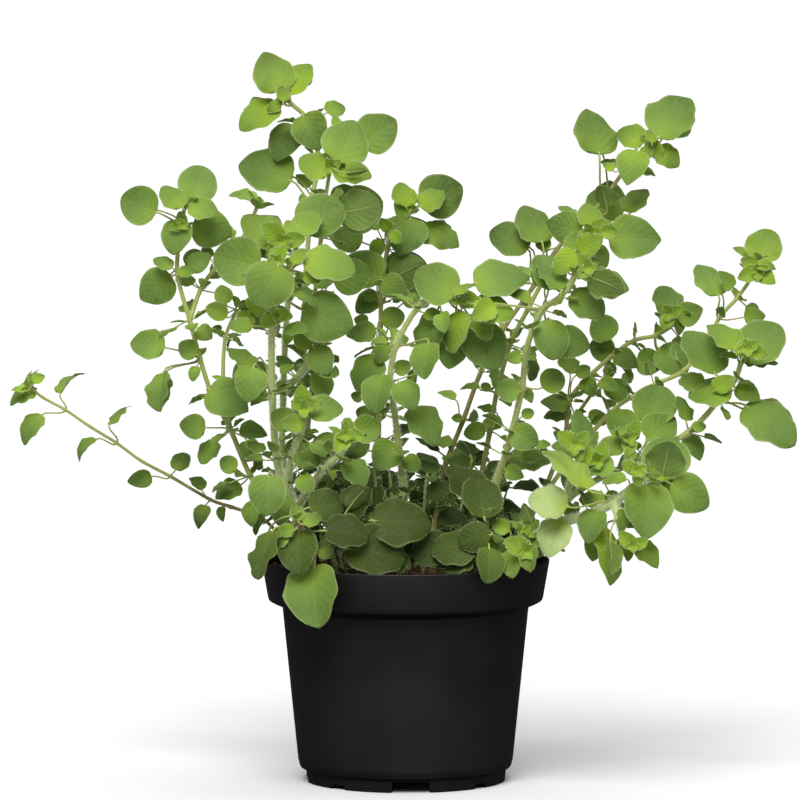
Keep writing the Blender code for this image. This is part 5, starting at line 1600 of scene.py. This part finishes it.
def first_in_sight(x, z):
    """The depth of the first thing that the eye meets at a place in the picture, or None."""
    start, way = Vector(EYE), Vector(unit(np.array([x, 0.0, z]) - EYE))
    hits = [tree.ray_cast(start, way)[0] for tree in cover.trees]
    return min((hit.y for hit in hits if hit), default=None)


def cluster_leaves(middle, size, count, rng):
    """Young leaves round a place, which lean towards the eye like the petals of a cup."""
    sight, right, up = sight_frame(middle)
    turn = rng.uniform(0, 2 * math.pi)
    petals = [(k / count, 1.0, (10, 40)) for k in range(count)]
    petals += [(k / 4 + 0.125, 0.55, (35, 58)) for k in range(4 if count > 2 else 0)]
    for number, (share, part, leans) in enumerate(petals):
        angle = turn + share * 2 * math.pi + rng.normal(0, 0.25)
        lean = math.radians(rng.uniform(*leans))
        flat = math.sin(angle) * right + math.cos(angle) * up
        axis = math.cos(lean) * flat - math.sin(lean) * sight
        foot = middle - sight * (1.2 if part < 1 else 0)
        leaf = small_leaf(foot, axis, -sight, size * part * rng.uniform(0.9, 1.3), 0.7)
        if number == 0 or part < 1 or clear_of_all(leaf):
            yield leaf, middle, (rng.uniform(0.8, 1.05), rng.uniform(0.8, 1.0), 0.0, 0.0)


def add_clusters(rng):
    """A cluster at each of its places, on a thin shoot of the stem that is near enough."""
    joints = [(stem.name, place) for stem in plant for line in stem.lines
              for place in smooth_line(line)[0][len(SPAN_STEPS) + 1:]]
    places = np.array([place for _, place in joints])
    placed = 0
    for x, z, size, count in CLUSTERS:
        depth = first_in_sight(x, z)
        if depth is None:
            depth = places[np.argmin(np.linalg.norm(places - seen(x, z, 0), axis=1)), 1]
        for step in CLUSTER_STEPS:
            middle = seen(x, z, depth - step)
            away = np.linalg.norm(places - middle, axis=1)
            order = [k for k in np.argsort(away)[:NEAREST] if away[k] < FARTHEST]
            grown = next(((k, shoot) for k in order if (shoot := thread(places[k], middle, rng))), None)
            if grown:
                break
        if not grown:
            continue
        placed += 1
        name = joints[grown[0]][0]
        inner[name] += grown[1]
        for leaf, joint, look in cluster_leaves(middle, size, count, rng):
            inner[name] += leaf_parts(name, leaf, joint, look, rng, 2.5)
    return placed


inner = {stem.name: [] for stem in plant}
inner_rng = np.random.default_rng(12)
print("clusters placed:", add_clusters(inner_rng), "of", len(CLUSTERS))

# %% [markdown]
# ## Shoots and leaves low in the pot
# Low down the pot is full of short shoots with dark leaves, dark from age and from a painted shade.
# They are spread over the soil by the golden angle, which never repeats a direction, and old leaves
# lean out over the rim between them.

# %% Inner shoots, and leaves at the rim
# How many shoots there are and how far out, the golden angle, and the leaves at the rim and the tries
# for each of them
INNER_SHOOTS = 70
INNER_REACH = 48.0
GOLDEN_TURN = 2.39996
RIM_LEAVES = 34
RIM_TRIES = 7


def nearest_stem(place):
    """The name of the stem whose foot is nearest to a place."""
    feet = np.array([stem.lines[0][0][:2] for stem in plant])
    return plant[np.argmin(np.linalg.norm(feet - place[:2], axis=1))].name


def add_old_shaded_leaf(name, leaf, tones, ages, rng):
    """An old leaf, dark from age and painted shade, unless something is in its way. Returns whether it was
    added.
    """
    clear = clear_of_all(leaf)
    if clear:
        # Painted shade: a low tone and a high age make these low leaves darker than their age alone
        look = (0.1 * rng.random(), rng.uniform(*tones), 0.0, rng.uniform(*ages))
        inner[name] += leaf_parts("shoot_centre", leaf, leaf.root, look, rng, 2.0)
    return clear


def add_inner_shoots(rng):
    """Short shoots all over the soil: taller in the middle, and low and flat near the rim."""
    placed = 0
    for number in range(INNER_SHOOTS):
        reach = INNER_REACH * math.sqrt((number + 0.5) / INNER_SHOOTS)
        out, _ = round_ways(number * GOLDEN_TURN)
        height = rng.uniform(16, 54) * (1 - (reach / INNER_REACH) ** 3) + rng.uniform(4, 9)
        start = out * reach + UP * (SOIL_TOP - 1)
        end = out * (reach + 0.25 * height) + UP * (SOIL_TOP + height) + rng.normal(0, 2, 3) * [1, 1, 0]
        shoot = thread(start, end, rng, 0.6, 4.0)
        if not shoot:
            continue
        name = nearest_stem(start)
        inner[name] += shoot
        placed += 1
        for share in ((0.45, 0.75, 1.0) if height > 16 else (1.0,)):
            place = start + (end - start) * share
            turn = rng.uniform(0, math.pi)
            for quarter in range(4 if share == 1.0 else 2):
                around = turn + quarter * math.pi / (2 if share == 1.0 else 1)
                way = np.array([math.cos(around), math.sin(around), rng.uniform(-0.1, 0.7)]) + out * 0.4
                face = UP * rng.uniform(0.5, 1.2) + out * 0.4 - [0, rng.uniform(0.2, 0.9), 0]
                leaf = small_leaf(place, way, face, rng.uniform(11, 19), rng.uniform(1.5, 4))
                add_old_shaded_leaf(name, leaf, (0.05, 0.45), (0.4, 1.0), rng)
    return placed


def add_rim_leaves(rng):
    """Old leaves round the edge of the soil, which spread sideways and lean out over the rim."""
    placed = 0
    for number in range(RIM_LEAVES):
        out, aside = round_ways((number + rng.uniform(-0.3, 0.3)) * 2 * math.pi / RIM_LEAVES)
        for _ in range(RIM_TRIES):
            place = out * rng.uniform(38, 54) + aside * rng.normal(0, 3) + UP * (SOIL_TOP - 0.5)
            way = aside * rng.uniform(-1.2, 1.2) + UP * rng.uniform(0.15, 0.9) + out * rng.uniform(-0.2, 0.5)
            face = out + UP * rng.uniform(0.2, 0.9)
            leaf = small_leaf(place, way, face, rng.uniform(12, 21), rng.uniform(3, 8))
            placed += add_old_shaded_leaf(nearest_stem(place), leaf, (0.15, 0.5), (0.6, 1.0), rng)
    return placed


print("inner shoots placed:", add_inner_shoots(inner_rng), "of", INNER_SHOOTS)
print("leaves round the rim:", add_rim_leaves(inner_rng))

# %% [markdown]
# ## Dress each leafy stem
# Each CAD stem gives way to one piece: its bark, its leaves on their stalks, the tiny leaves at each
# joint and tip, its hairs, and the clusters and small shoots that grow near it.

# %% Make the foliage
def dress_stem(stem, rng):
    """One piece for a leafy stem, which replaces its CAD solid."""
    own = STEM_LOOKS.get(stem.name, StemLook())
    down = 3.0 if own.hair > 8 else 2.0
    parts = []
    for number, line in enumerate(stem.lines):
        main = number == 0
        smooth, near = smooth_line(line)
        radii = stem.radius * (1.0 if main else SIDE_SHOOT) * own.thick
        radii = radii * np.linspace(1.0, STEM_TAPER, len(smooth))
        radii *= 1 + SWELL * ramp(near, JOINT_SPREAD, 0)
        bark = tube(smooth, radii, 8, (own.brown, own.pale, 0, 0), square=SQUARE)
        bark.look[:, 0] += 0.45 * ramp(bark.points[:, 2], SOIL_TOP + 80, SOIL_TOP)
        parts.append(bark)
        parts.append(hairs_round(smooth, radii, own.hair, own.length, rng, (0.7, 0, 0, 0),
                                 (0.12 if main else 0.0, 1.0)))
        extra = list(tip_leaves(line, radii[-1], rng))
        extra += joint_leaves(line, 2 if main else 1, radii[-1], own.leafy, rng)
        for leaf, joint, look in extra:
            parts += leaf_parts(stem.name, leaf, joint, look, rng, 1.5)
    for leaf, shoot, joint in stem.leaves:
        near_tip = joint >= len(stem.lines[shoot]) - 2 and leaf.base[2] > 110
        look = leaf_look(stem.name, leaf, near_tip, rng)
        parts += leaf_parts(stem.name, leaf, stem.lines[shoot][joint], look, rng, down)
    piece = make_piece(stem.name + "_foliage", parts + inner[stem.name], FOLIAGE)
    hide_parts(stem.name)
    return piece


looks_rng = np.random.default_rng(21)
faces = 0
for stem in plant:
    piece = dress_stem(stem, looks_rng)
    faces += len(piece.data.polygons)
print("foliage faces:", faces)

# %% [markdown]
# ## The pot
# The pot is moulded from thin black polypropylene: smooth, with a soft shine, a straight band at the
# rim, a foot ring with notches that let water out, and drain holes inside that ring. It is turned
# from the same profile as the CAD pot, with many more sides and rounder edges. The notches lift the
# ring's lower edge between two bearings, and one Boolean cuts the drain holes.

# %% Turn the pot
# Radius and height of the wall's two ends, the foot ring, and the floor's under and upper side
WALL_HEAD = (55.6, 79.2)
WALL_FOOT = (48.5, 9.0)
FOOT_RADIUS = 45.2
FOOT_HEIGHT = 5.6
FOOT_WIDTH = 2.6
FLOOR = (5.0, 6.5)

# The notches of the foot: the bearing of each one's middle, its width in degrees and its height
NOTCH_SLOPE = 0.8
NOTCHES = [(90 * quarter + turn, width, height) for quarter in range(4)
           for turn, width, height in ((3.0, 21.7, 4.6), (48.0, 9.0, 1.8))]

# How many drain holes there are, their radius, how far out they are, and the sides of each
DRAIN_HOLES = 6
DRAIN_RADIUS = 4.0
DRAIN_RING = 30.0
DRAIN_SIDES = 16


def rounded(start, corner, end, count):
    """Points of a quadratic curve: (1-t)^2 start + 2t(1-t) corner + t^2 end."""
    t = np.linspace(0, 1, count)[:, None]
    return (1 - t) ** 2 * np.array(start) + 2 * t * (1 - t) * np.array(corner) + t ** 2 * np.array(end)


def rounded_profile(corners, size, count=4):
    """A line through corners, each rounded off over a distance `size` or a third of its sides."""
    corners = np.array(corners, float)
    out = [corners[:1]]
    for before, here, after in zip(corners, corners[1:], corners[2:]):
        back, on = before - here, after - here
        reach = min(size, np.linalg.norm(back) / 3, np.linalg.norm(on) / 3)
        out.append(rounded(here + unit(back) * reach, here, here + unit(on) * reach, count))
    return np.concatenate(out + [corners[-1:]])


def inner_radius(height):
    radii, heights = zip(WALL_FOOT, WALL_HEAD, BAND_FOOT, (RIM_RADIUS, POT_HEIGHT))
    return np.interp(height, heights, radii) - WALL


def turned_rings(radii, heights, turn):
    """Rings round the pot's axis: a point at bearing a is (r cos a, r sin a, z)."""
    high = np.broadcast_to(heights, (len(radii), len(turn)))
    return np.stack([radii[:, None] * np.cos(turn), radii[:, None] * np.sin(turn), high], axis=-1)


def pot_bearings():
    """Even bearings all round, with more of them at the sides of each notch, in degrees."""
    bearings = list(np.arange(0, 360, 3.0))
    for middle, width, _ in NOTCHES:
        for edge in (-width / 2, width / 2):
            bearings += list(middle + edge + np.linspace(-NOTCH_SLOPE, NOTCH_SLOPE, 5))
    bearings = np.sort(np.mod(bearings, 360))
    return bearings[np.append(True, np.diff(bearings) > 0.1)]


def notch_height(bearings):
    """How far the foot's lower edge is lifted at each bearing: a smooth step up and down."""
    lift = np.zeros(len(bearings))
    for middle, width, height in NOTCHES:
        away = np.abs((bearings - middle + 180) % 360 - 180)
        rise = np.clip((width / 2 + NOTCH_SLOPE - away) / (2 * NOTCH_SLOPE), 0, 1)
        lift = np.maximum(lift, height * (3 * rise ** 2 - 2 * rise ** 3))
    return lift


def pot_skin():
    under, floor = FLOOR
    ring = FOOT_RADIUS - FOOT_WIDTH
    wide, high = BAND_FOOT
    corners = [(20, under), (ring, under), (ring, 0), (FOOT_RADIUS, 0), (FOOT_RADIUS + 0.6, FOOT_HEIGHT),
               (WALL_FOOT[0] - 0.9, FOOT_HEIGHT + 0.7), (WALL_FOOT[0], WALL_FOOT[1] + 0.5), (51.5, 38.7),
               WALL_HEAD, (wide - 2.6, high - 3.3), (wide - 0.5, high - 2.2), (wide, high),
               (RIM_RADIUS, POT_HEIGHT), (RIM_RADIUS - WALL, POT_HEIGHT)]
    inside = [(inner_radius(z), z) for z in (high, WALL_HEAD[1], WALL_FOOT[1])]
    inside += [(inner_radius(WALL_FOOT[1]) - 1.5, floor), (20, floor)]
    profile = rounded_profile(corners + inside, 0.6)
    bearings = pot_bearings()
    radius, height = profile.T
    on_foot = (np.clip(1 - height / FOOT_HEIGHT, 0, 1) * (radius > ring - 0.7))[:, None]
    heights = height[:, None] + on_foot * notch_height(bearings)
    rings = turned_rings(radius, heights, np.radians(bearings))
    return closed_skin(rings, (0, 0, under), (0, 0, floor))


def pot_material():
    """Black polypropylene: nearly black and softly shiny, with faint flow marks."""
    material, tree, shader = surface("black_polypropylene", {"Specular IOR Level": 0.5})
    mask, height = grain_of(tree, 900.0, 35.0)
    colour = mixed(tree, mask, (0.0028, 0.0028, 0.0030, 1), (0.0045, 0.0045, 0.0047, 1))
    tree.links.new(colour, shader.inputs["Base Color"])
    tree.links.new(smooth_step(tree, mask, 0.3, 0.7, 0.46, 0.56), shader.inputs["Roughness"])
    add_bump(tree, shader, height, 0.12, 0.0002)
    return material


def drill(piece):
    """Cut the drain holes through the pot's floor with one Boolean, and apply it."""
    cutters = []
    low, high = FLOOR[0] - 1, FLOOR[1] + 1
    turns = even_turns(DRAIN_SIDES)
    circle = np.stack([np.cos(turns), np.sin(turns)], axis=1) * DRAIN_RADIUS
    for number, turn in enumerate(even_turns(DRAIN_HOLES)):
        middle = DRAIN_RING * np.array([math.cos(turn), math.sin(turn)])
        rings = np.array([[(*(middle + spot), z) for spot in circle] for z in (low, high)])
        skin = closed_skin(rings, (*middle, low), (*middle, high))
        cutters.append(make_piece(f"drain_cutter_{number}", [skin], []))
    group = bpy.data.collections.new("drain_cutters")
    for cutter in cutters:
        group.objects.link(cutter)
    step = piece.modifiers.new("drain", "BOOLEAN")
    step.operation = "DIFFERENCE"
    step.operand_type = "COLLECTION"
    step.collection = group
    step.solver = "EXACT"
    made = bpy.data.meshes.new_from_object(piece.evaluated_get(bpy.context.evaluated_depsgraph_get()))
    piece.modifiers.clear()
    piece.data = made
    for cutter in cutters:
        bpy.data.objects.remove(cutter)
    bpy.data.collections.remove(group)


pot = make_piece("nursery_pot", [pot_skin()], [pot_material()])
drill(pot)
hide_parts("pot")
print("pot faces:", len(pot.data.polygons))

# %% [markdown]
# ## The soil
# Potting soil is mostly peat: reddish-brown crumbs and bits of fibre with an uneven top. A finer
# skin than the CAD soil gives the lumps, and loose crumbs and fibres lie on it.

# %% Soil surface
# The gap to the pot's wall, the points round the soil, and what lies loose on it
SOIL_GAP = 0.8
SOIL_TURNS = 120
CRUMBS = 900
FIBRES = 260
FIBRE_RADII = np.array([0.12, 0.17, 0.2, 0.16, 0.08])


def soil_height(x, y):
    """The top of the soil: the CAD model's broad waves, and finer lumps of the same kind."""
    broad = np.sin(x / 9 + 0.7) * np.cos(y / 11) + 0.6 * np.sin((x + y) / 6 + 2)
    fine = np.sin(x / 2.3 + np.sin(y / 3.1)) * np.sin(y / 2.1 + 1.3 * np.sin(x / 2.7))
    return SOIL_TOP + 0.6 * SOIL_SWELL * broad + 0.45 * fine


def soil_skin():
    floor = FLOOR[1] + 0.3
    heights = np.array([WALL_FOOT[1], WALL_HEAD[1], BAND_FOOT[1], SOIL_TOP - 3])
    side = np.stack([inner_radius(heights) - SOIL_GAP, heights], axis=1)
    edge = inner_radius(SOIL_TOP) - SOIL_GAP
    shares = np.linspace(1, 0.03, 40)
    top = np.stack([edge * shares, np.full(len(shares), SOIL_TOP)], axis=1)
    profile = np.concatenate([[(side[0, 0] - 1.6, floor)], side, top])
    rings = turned_rings(profile[:, 0], profile[:, 1:], even_turns(SOIL_TURNS))
    on_top = rings[..., 2] == SOIL_TOP
    rings[on_top, 2] = soil_height(rings[on_top, 0], rings[on_top, 1])
    return closed_skin(rings, (0, 0, floor), (0, 0, soil_height(0.0, 0.0)), (0.5, 0, 0, 0))


def crumb_skin(rng):
    """Crumbs: one lumpy ball of ten points and two poles, placed, sized and squashed at random."""
    turn = even_turns(5)
    ball = np.array([[(math.cos(a) * 0.9, math.sin(a) * 0.9, -0.45) for a in turn],
                     [(math.cos(a + 0.63) * 0.9, math.sin(a + 0.63) * 0.9, 0.45) for a in turn]])
    one = closed_skin(ball, (0, 0, -1), (0, 0, 1))
    count = len(one.points)
    size = rng.uniform(0.35, 1.5, CRUMBS) ** 1.5
    reach = (inner_radius(SOIL_TOP) - 2.5) * np.sqrt(rng.random(CRUMBS))
    angle = rng.uniform(0, 2 * math.pi, CRUMBS)
    x, y = reach * np.cos(angle), reach * np.sin(angle)
    middles = np.stack([x, y, soil_height(x, y) + 0.25 * size], axis=1)
    lumps = one.points * rng.uniform(0.65, 1.25, (CRUMBS, count, 1)) * rng.uniform(0.6, 1.2, (CRUMBS, 1, 3))
    points = (lumps * size[:, None, None] + middles[:, None]).reshape(-1, 3)
    steps = np.arange(CRUMBS)[:, None, None] * count
    look = np.repeat(rng.random(CRUMBS), count)[:, None] * (1, 0, 0, 0)
    return Skin(points, (one.quads + steps).reshape(-1, 4), (one.tris + steps).reshape(-1, 3), look)


def fibre_skins(rng):
    """Fibres and bits of root: thin bent threads that lie on the soil."""
    found = []
    for _ in range(FIBRES):
        reach = (inner_radius(SOIL_TOP) - 6) * math.sqrt(rng.random())
        angle, way = rng.uniform(0, 2 * math.pi, 2)
        start = np.array([reach * math.cos(angle), reach * math.sin(angle)])
        length = rng.uniform(2, 7)
        bend = rng.normal(0, 0.5)
        steps = np.linspace(0, 1, len(FIBRE_RADII))
        turn = way + bend * steps
        flat = start + np.stack([np.cos(turn), np.sin(turn)], axis=1) * (steps * length)[:, None]
        if (np.linalg.norm(flat, axis=1) >= inner_radius(SOIL_TOP) - 1.5).any():
            continue
        height = soil_height(flat[:, 0], flat[:, 1]) + 0.15 + 0.7 * np.sin(math.pi * steps)
        line = np.column_stack([flat, height])
        found.append(tube(line, FIBRE_RADII, 4, (rng.uniform(0.6, 1), 0, 0, 0), finish=0))
    return found


def soil_material():
    """Damp peat: dark and reddish, and lighter where the look's first channel says a crumb is dry."""
    material, tree, shader = surface("damp_peat", {"Roughness": 0.9})
    dry, *_ = look_of(tree)
    mask, height = grain_of(tree, 1600.0, 260.0)
    dark = mixed(tree, mask, (0.018, 0.009, 0.006, 1), (0.10, 0.045, 0.022, 1))
    light = mixed(tree, mask, (0.07, 0.032, 0.016, 1), (0.26, 0.14, 0.07, 1))
    tree.links.new(mixed(tree, dry, dark, light), shader.inputs["Base Color"])
    add_bump(tree, shader, height, 0.8, 0.0006)
    return material


soil_rng = np.random.default_rng(5)
soil = make_piece("peat_soil", [soil_skin(), crumb_skin(soil_rng)] + fibre_skins(soil_rng), [soil_material()])
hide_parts("soil")
print("soil faces:", len(soil.data.polygons))

# %% [markdown]
# ## Floor and light
# A pale floor that runs far back, a broad light from above the camera, which a sun with a wide angle
# gives evenly all over the floor, a weaker one from the side, and a dim room all round. The room
# looks white to the camera, as the walls of a studio do in an overexposed picture. A black pot shows
# mostly what it mirrors: a light screen behind the camera, and at its sides the dark ends of the
# room, as black cards beside the object give it. So the room and the floor are dark to mirrored rays
# but for that screen.

# %% Stage
# The room's strength at the horizon and overhead, and the screen's behind the plant and the camera
ROOM = (0.1, 0.5)
SCREEN = (0.03, 0.95)
KEY = dict(strength=2.6, angle=36, turn=(42, 0, -8))
FILL = dict(strength=0.7, angle=60, turn=(20, 0, 120))
FLOOR_SEEN = (0.9, 0.9, 0.9, 1)
FLOOR_BOUNCE = (0.5, 0.5, 0.5, 1)
FLOOR_MIRRORED = (0.03, 0.03, 0.03, 1)


def broad_sun(name, strength, angle, turn):
    data = bpy.data.lights.new(name, "SUN")
    data.energy = strength
    data.angle = math.radians(angle)
    lamp = bpy.data.objects.new(name, data)
    lamp.rotation_euler = [math.radians(each) for each in turn]
    bpy.context.scene.collection.objects.link(lamp)


floor_mesh = bpy.data.meshes.new("studio_floor")
floor_mesh.from_pydata([(-40, -40, 0), (40, -40, 0), (40, 60, 0), (-40, 60, 0)], [], [(0, 1, 2, 3)])
studio_floor = bpy.data.objects.new("studio_floor", floor_mesh)
bpy.context.scene.collection.objects.link(studio_floor)
floor_material, floor_tree, floor_shader = surface("studio_floor", {"Roughness": 0.9})
ray = node(floor_tree, "ShaderNodeLightPath").outputs
bounced = mixed(floor_tree, ray["Is Glossy Ray"], FLOOR_BOUNCE, FLOOR_MIRRORED)
shown = mixed(floor_tree, ray["Is Camera Ray"], bounced, FLOOR_SEEN)
floor_tree.links.new(shown, floor_shader.inputs["Base Color"])
floor_mesh.materials.append(floor_material)

broad_sun("key_light", **KEY)
broad_sun("fill_light", **FILL)

room = bpy.data.worlds.new("white_studio")
room.use_nodes = True
tree = room.node_tree
background = tree.nodes["Background"].inputs
ray = node(tree, "ShaderNodeLightPath").outputs
way = node(tree, "ShaderNodeSeparateXYZ", [node(tree, "ShaderNodeTexCoord").outputs["Generated"]]).outputs
walls = smooth_step(tree, way["Z"], 0.0, 0.7, *ROOM)
screen = smooth_step(tree, way["Y"], 0.3, -0.7, *SCREEN)
more = math_node(tree, "SUBTRACT", screen, walls)
strength = math_node(tree, "MULTIPLY_ADD", more, ray["Is Glossy Ray"], walls)
tree.links.new(math_node(tree, "MAXIMUM", strength, ray["Is Camera Ray"]), background["Strength"])
background["Color"].default_value = (1, 1, 1, 1)
bpy.context.scene.world = room
bpy.context.scene.view_settings.view_transform = "Standard"
print("lamps:", [lamp.name for lamp in bpy.data.lights], "in the world", room.name)
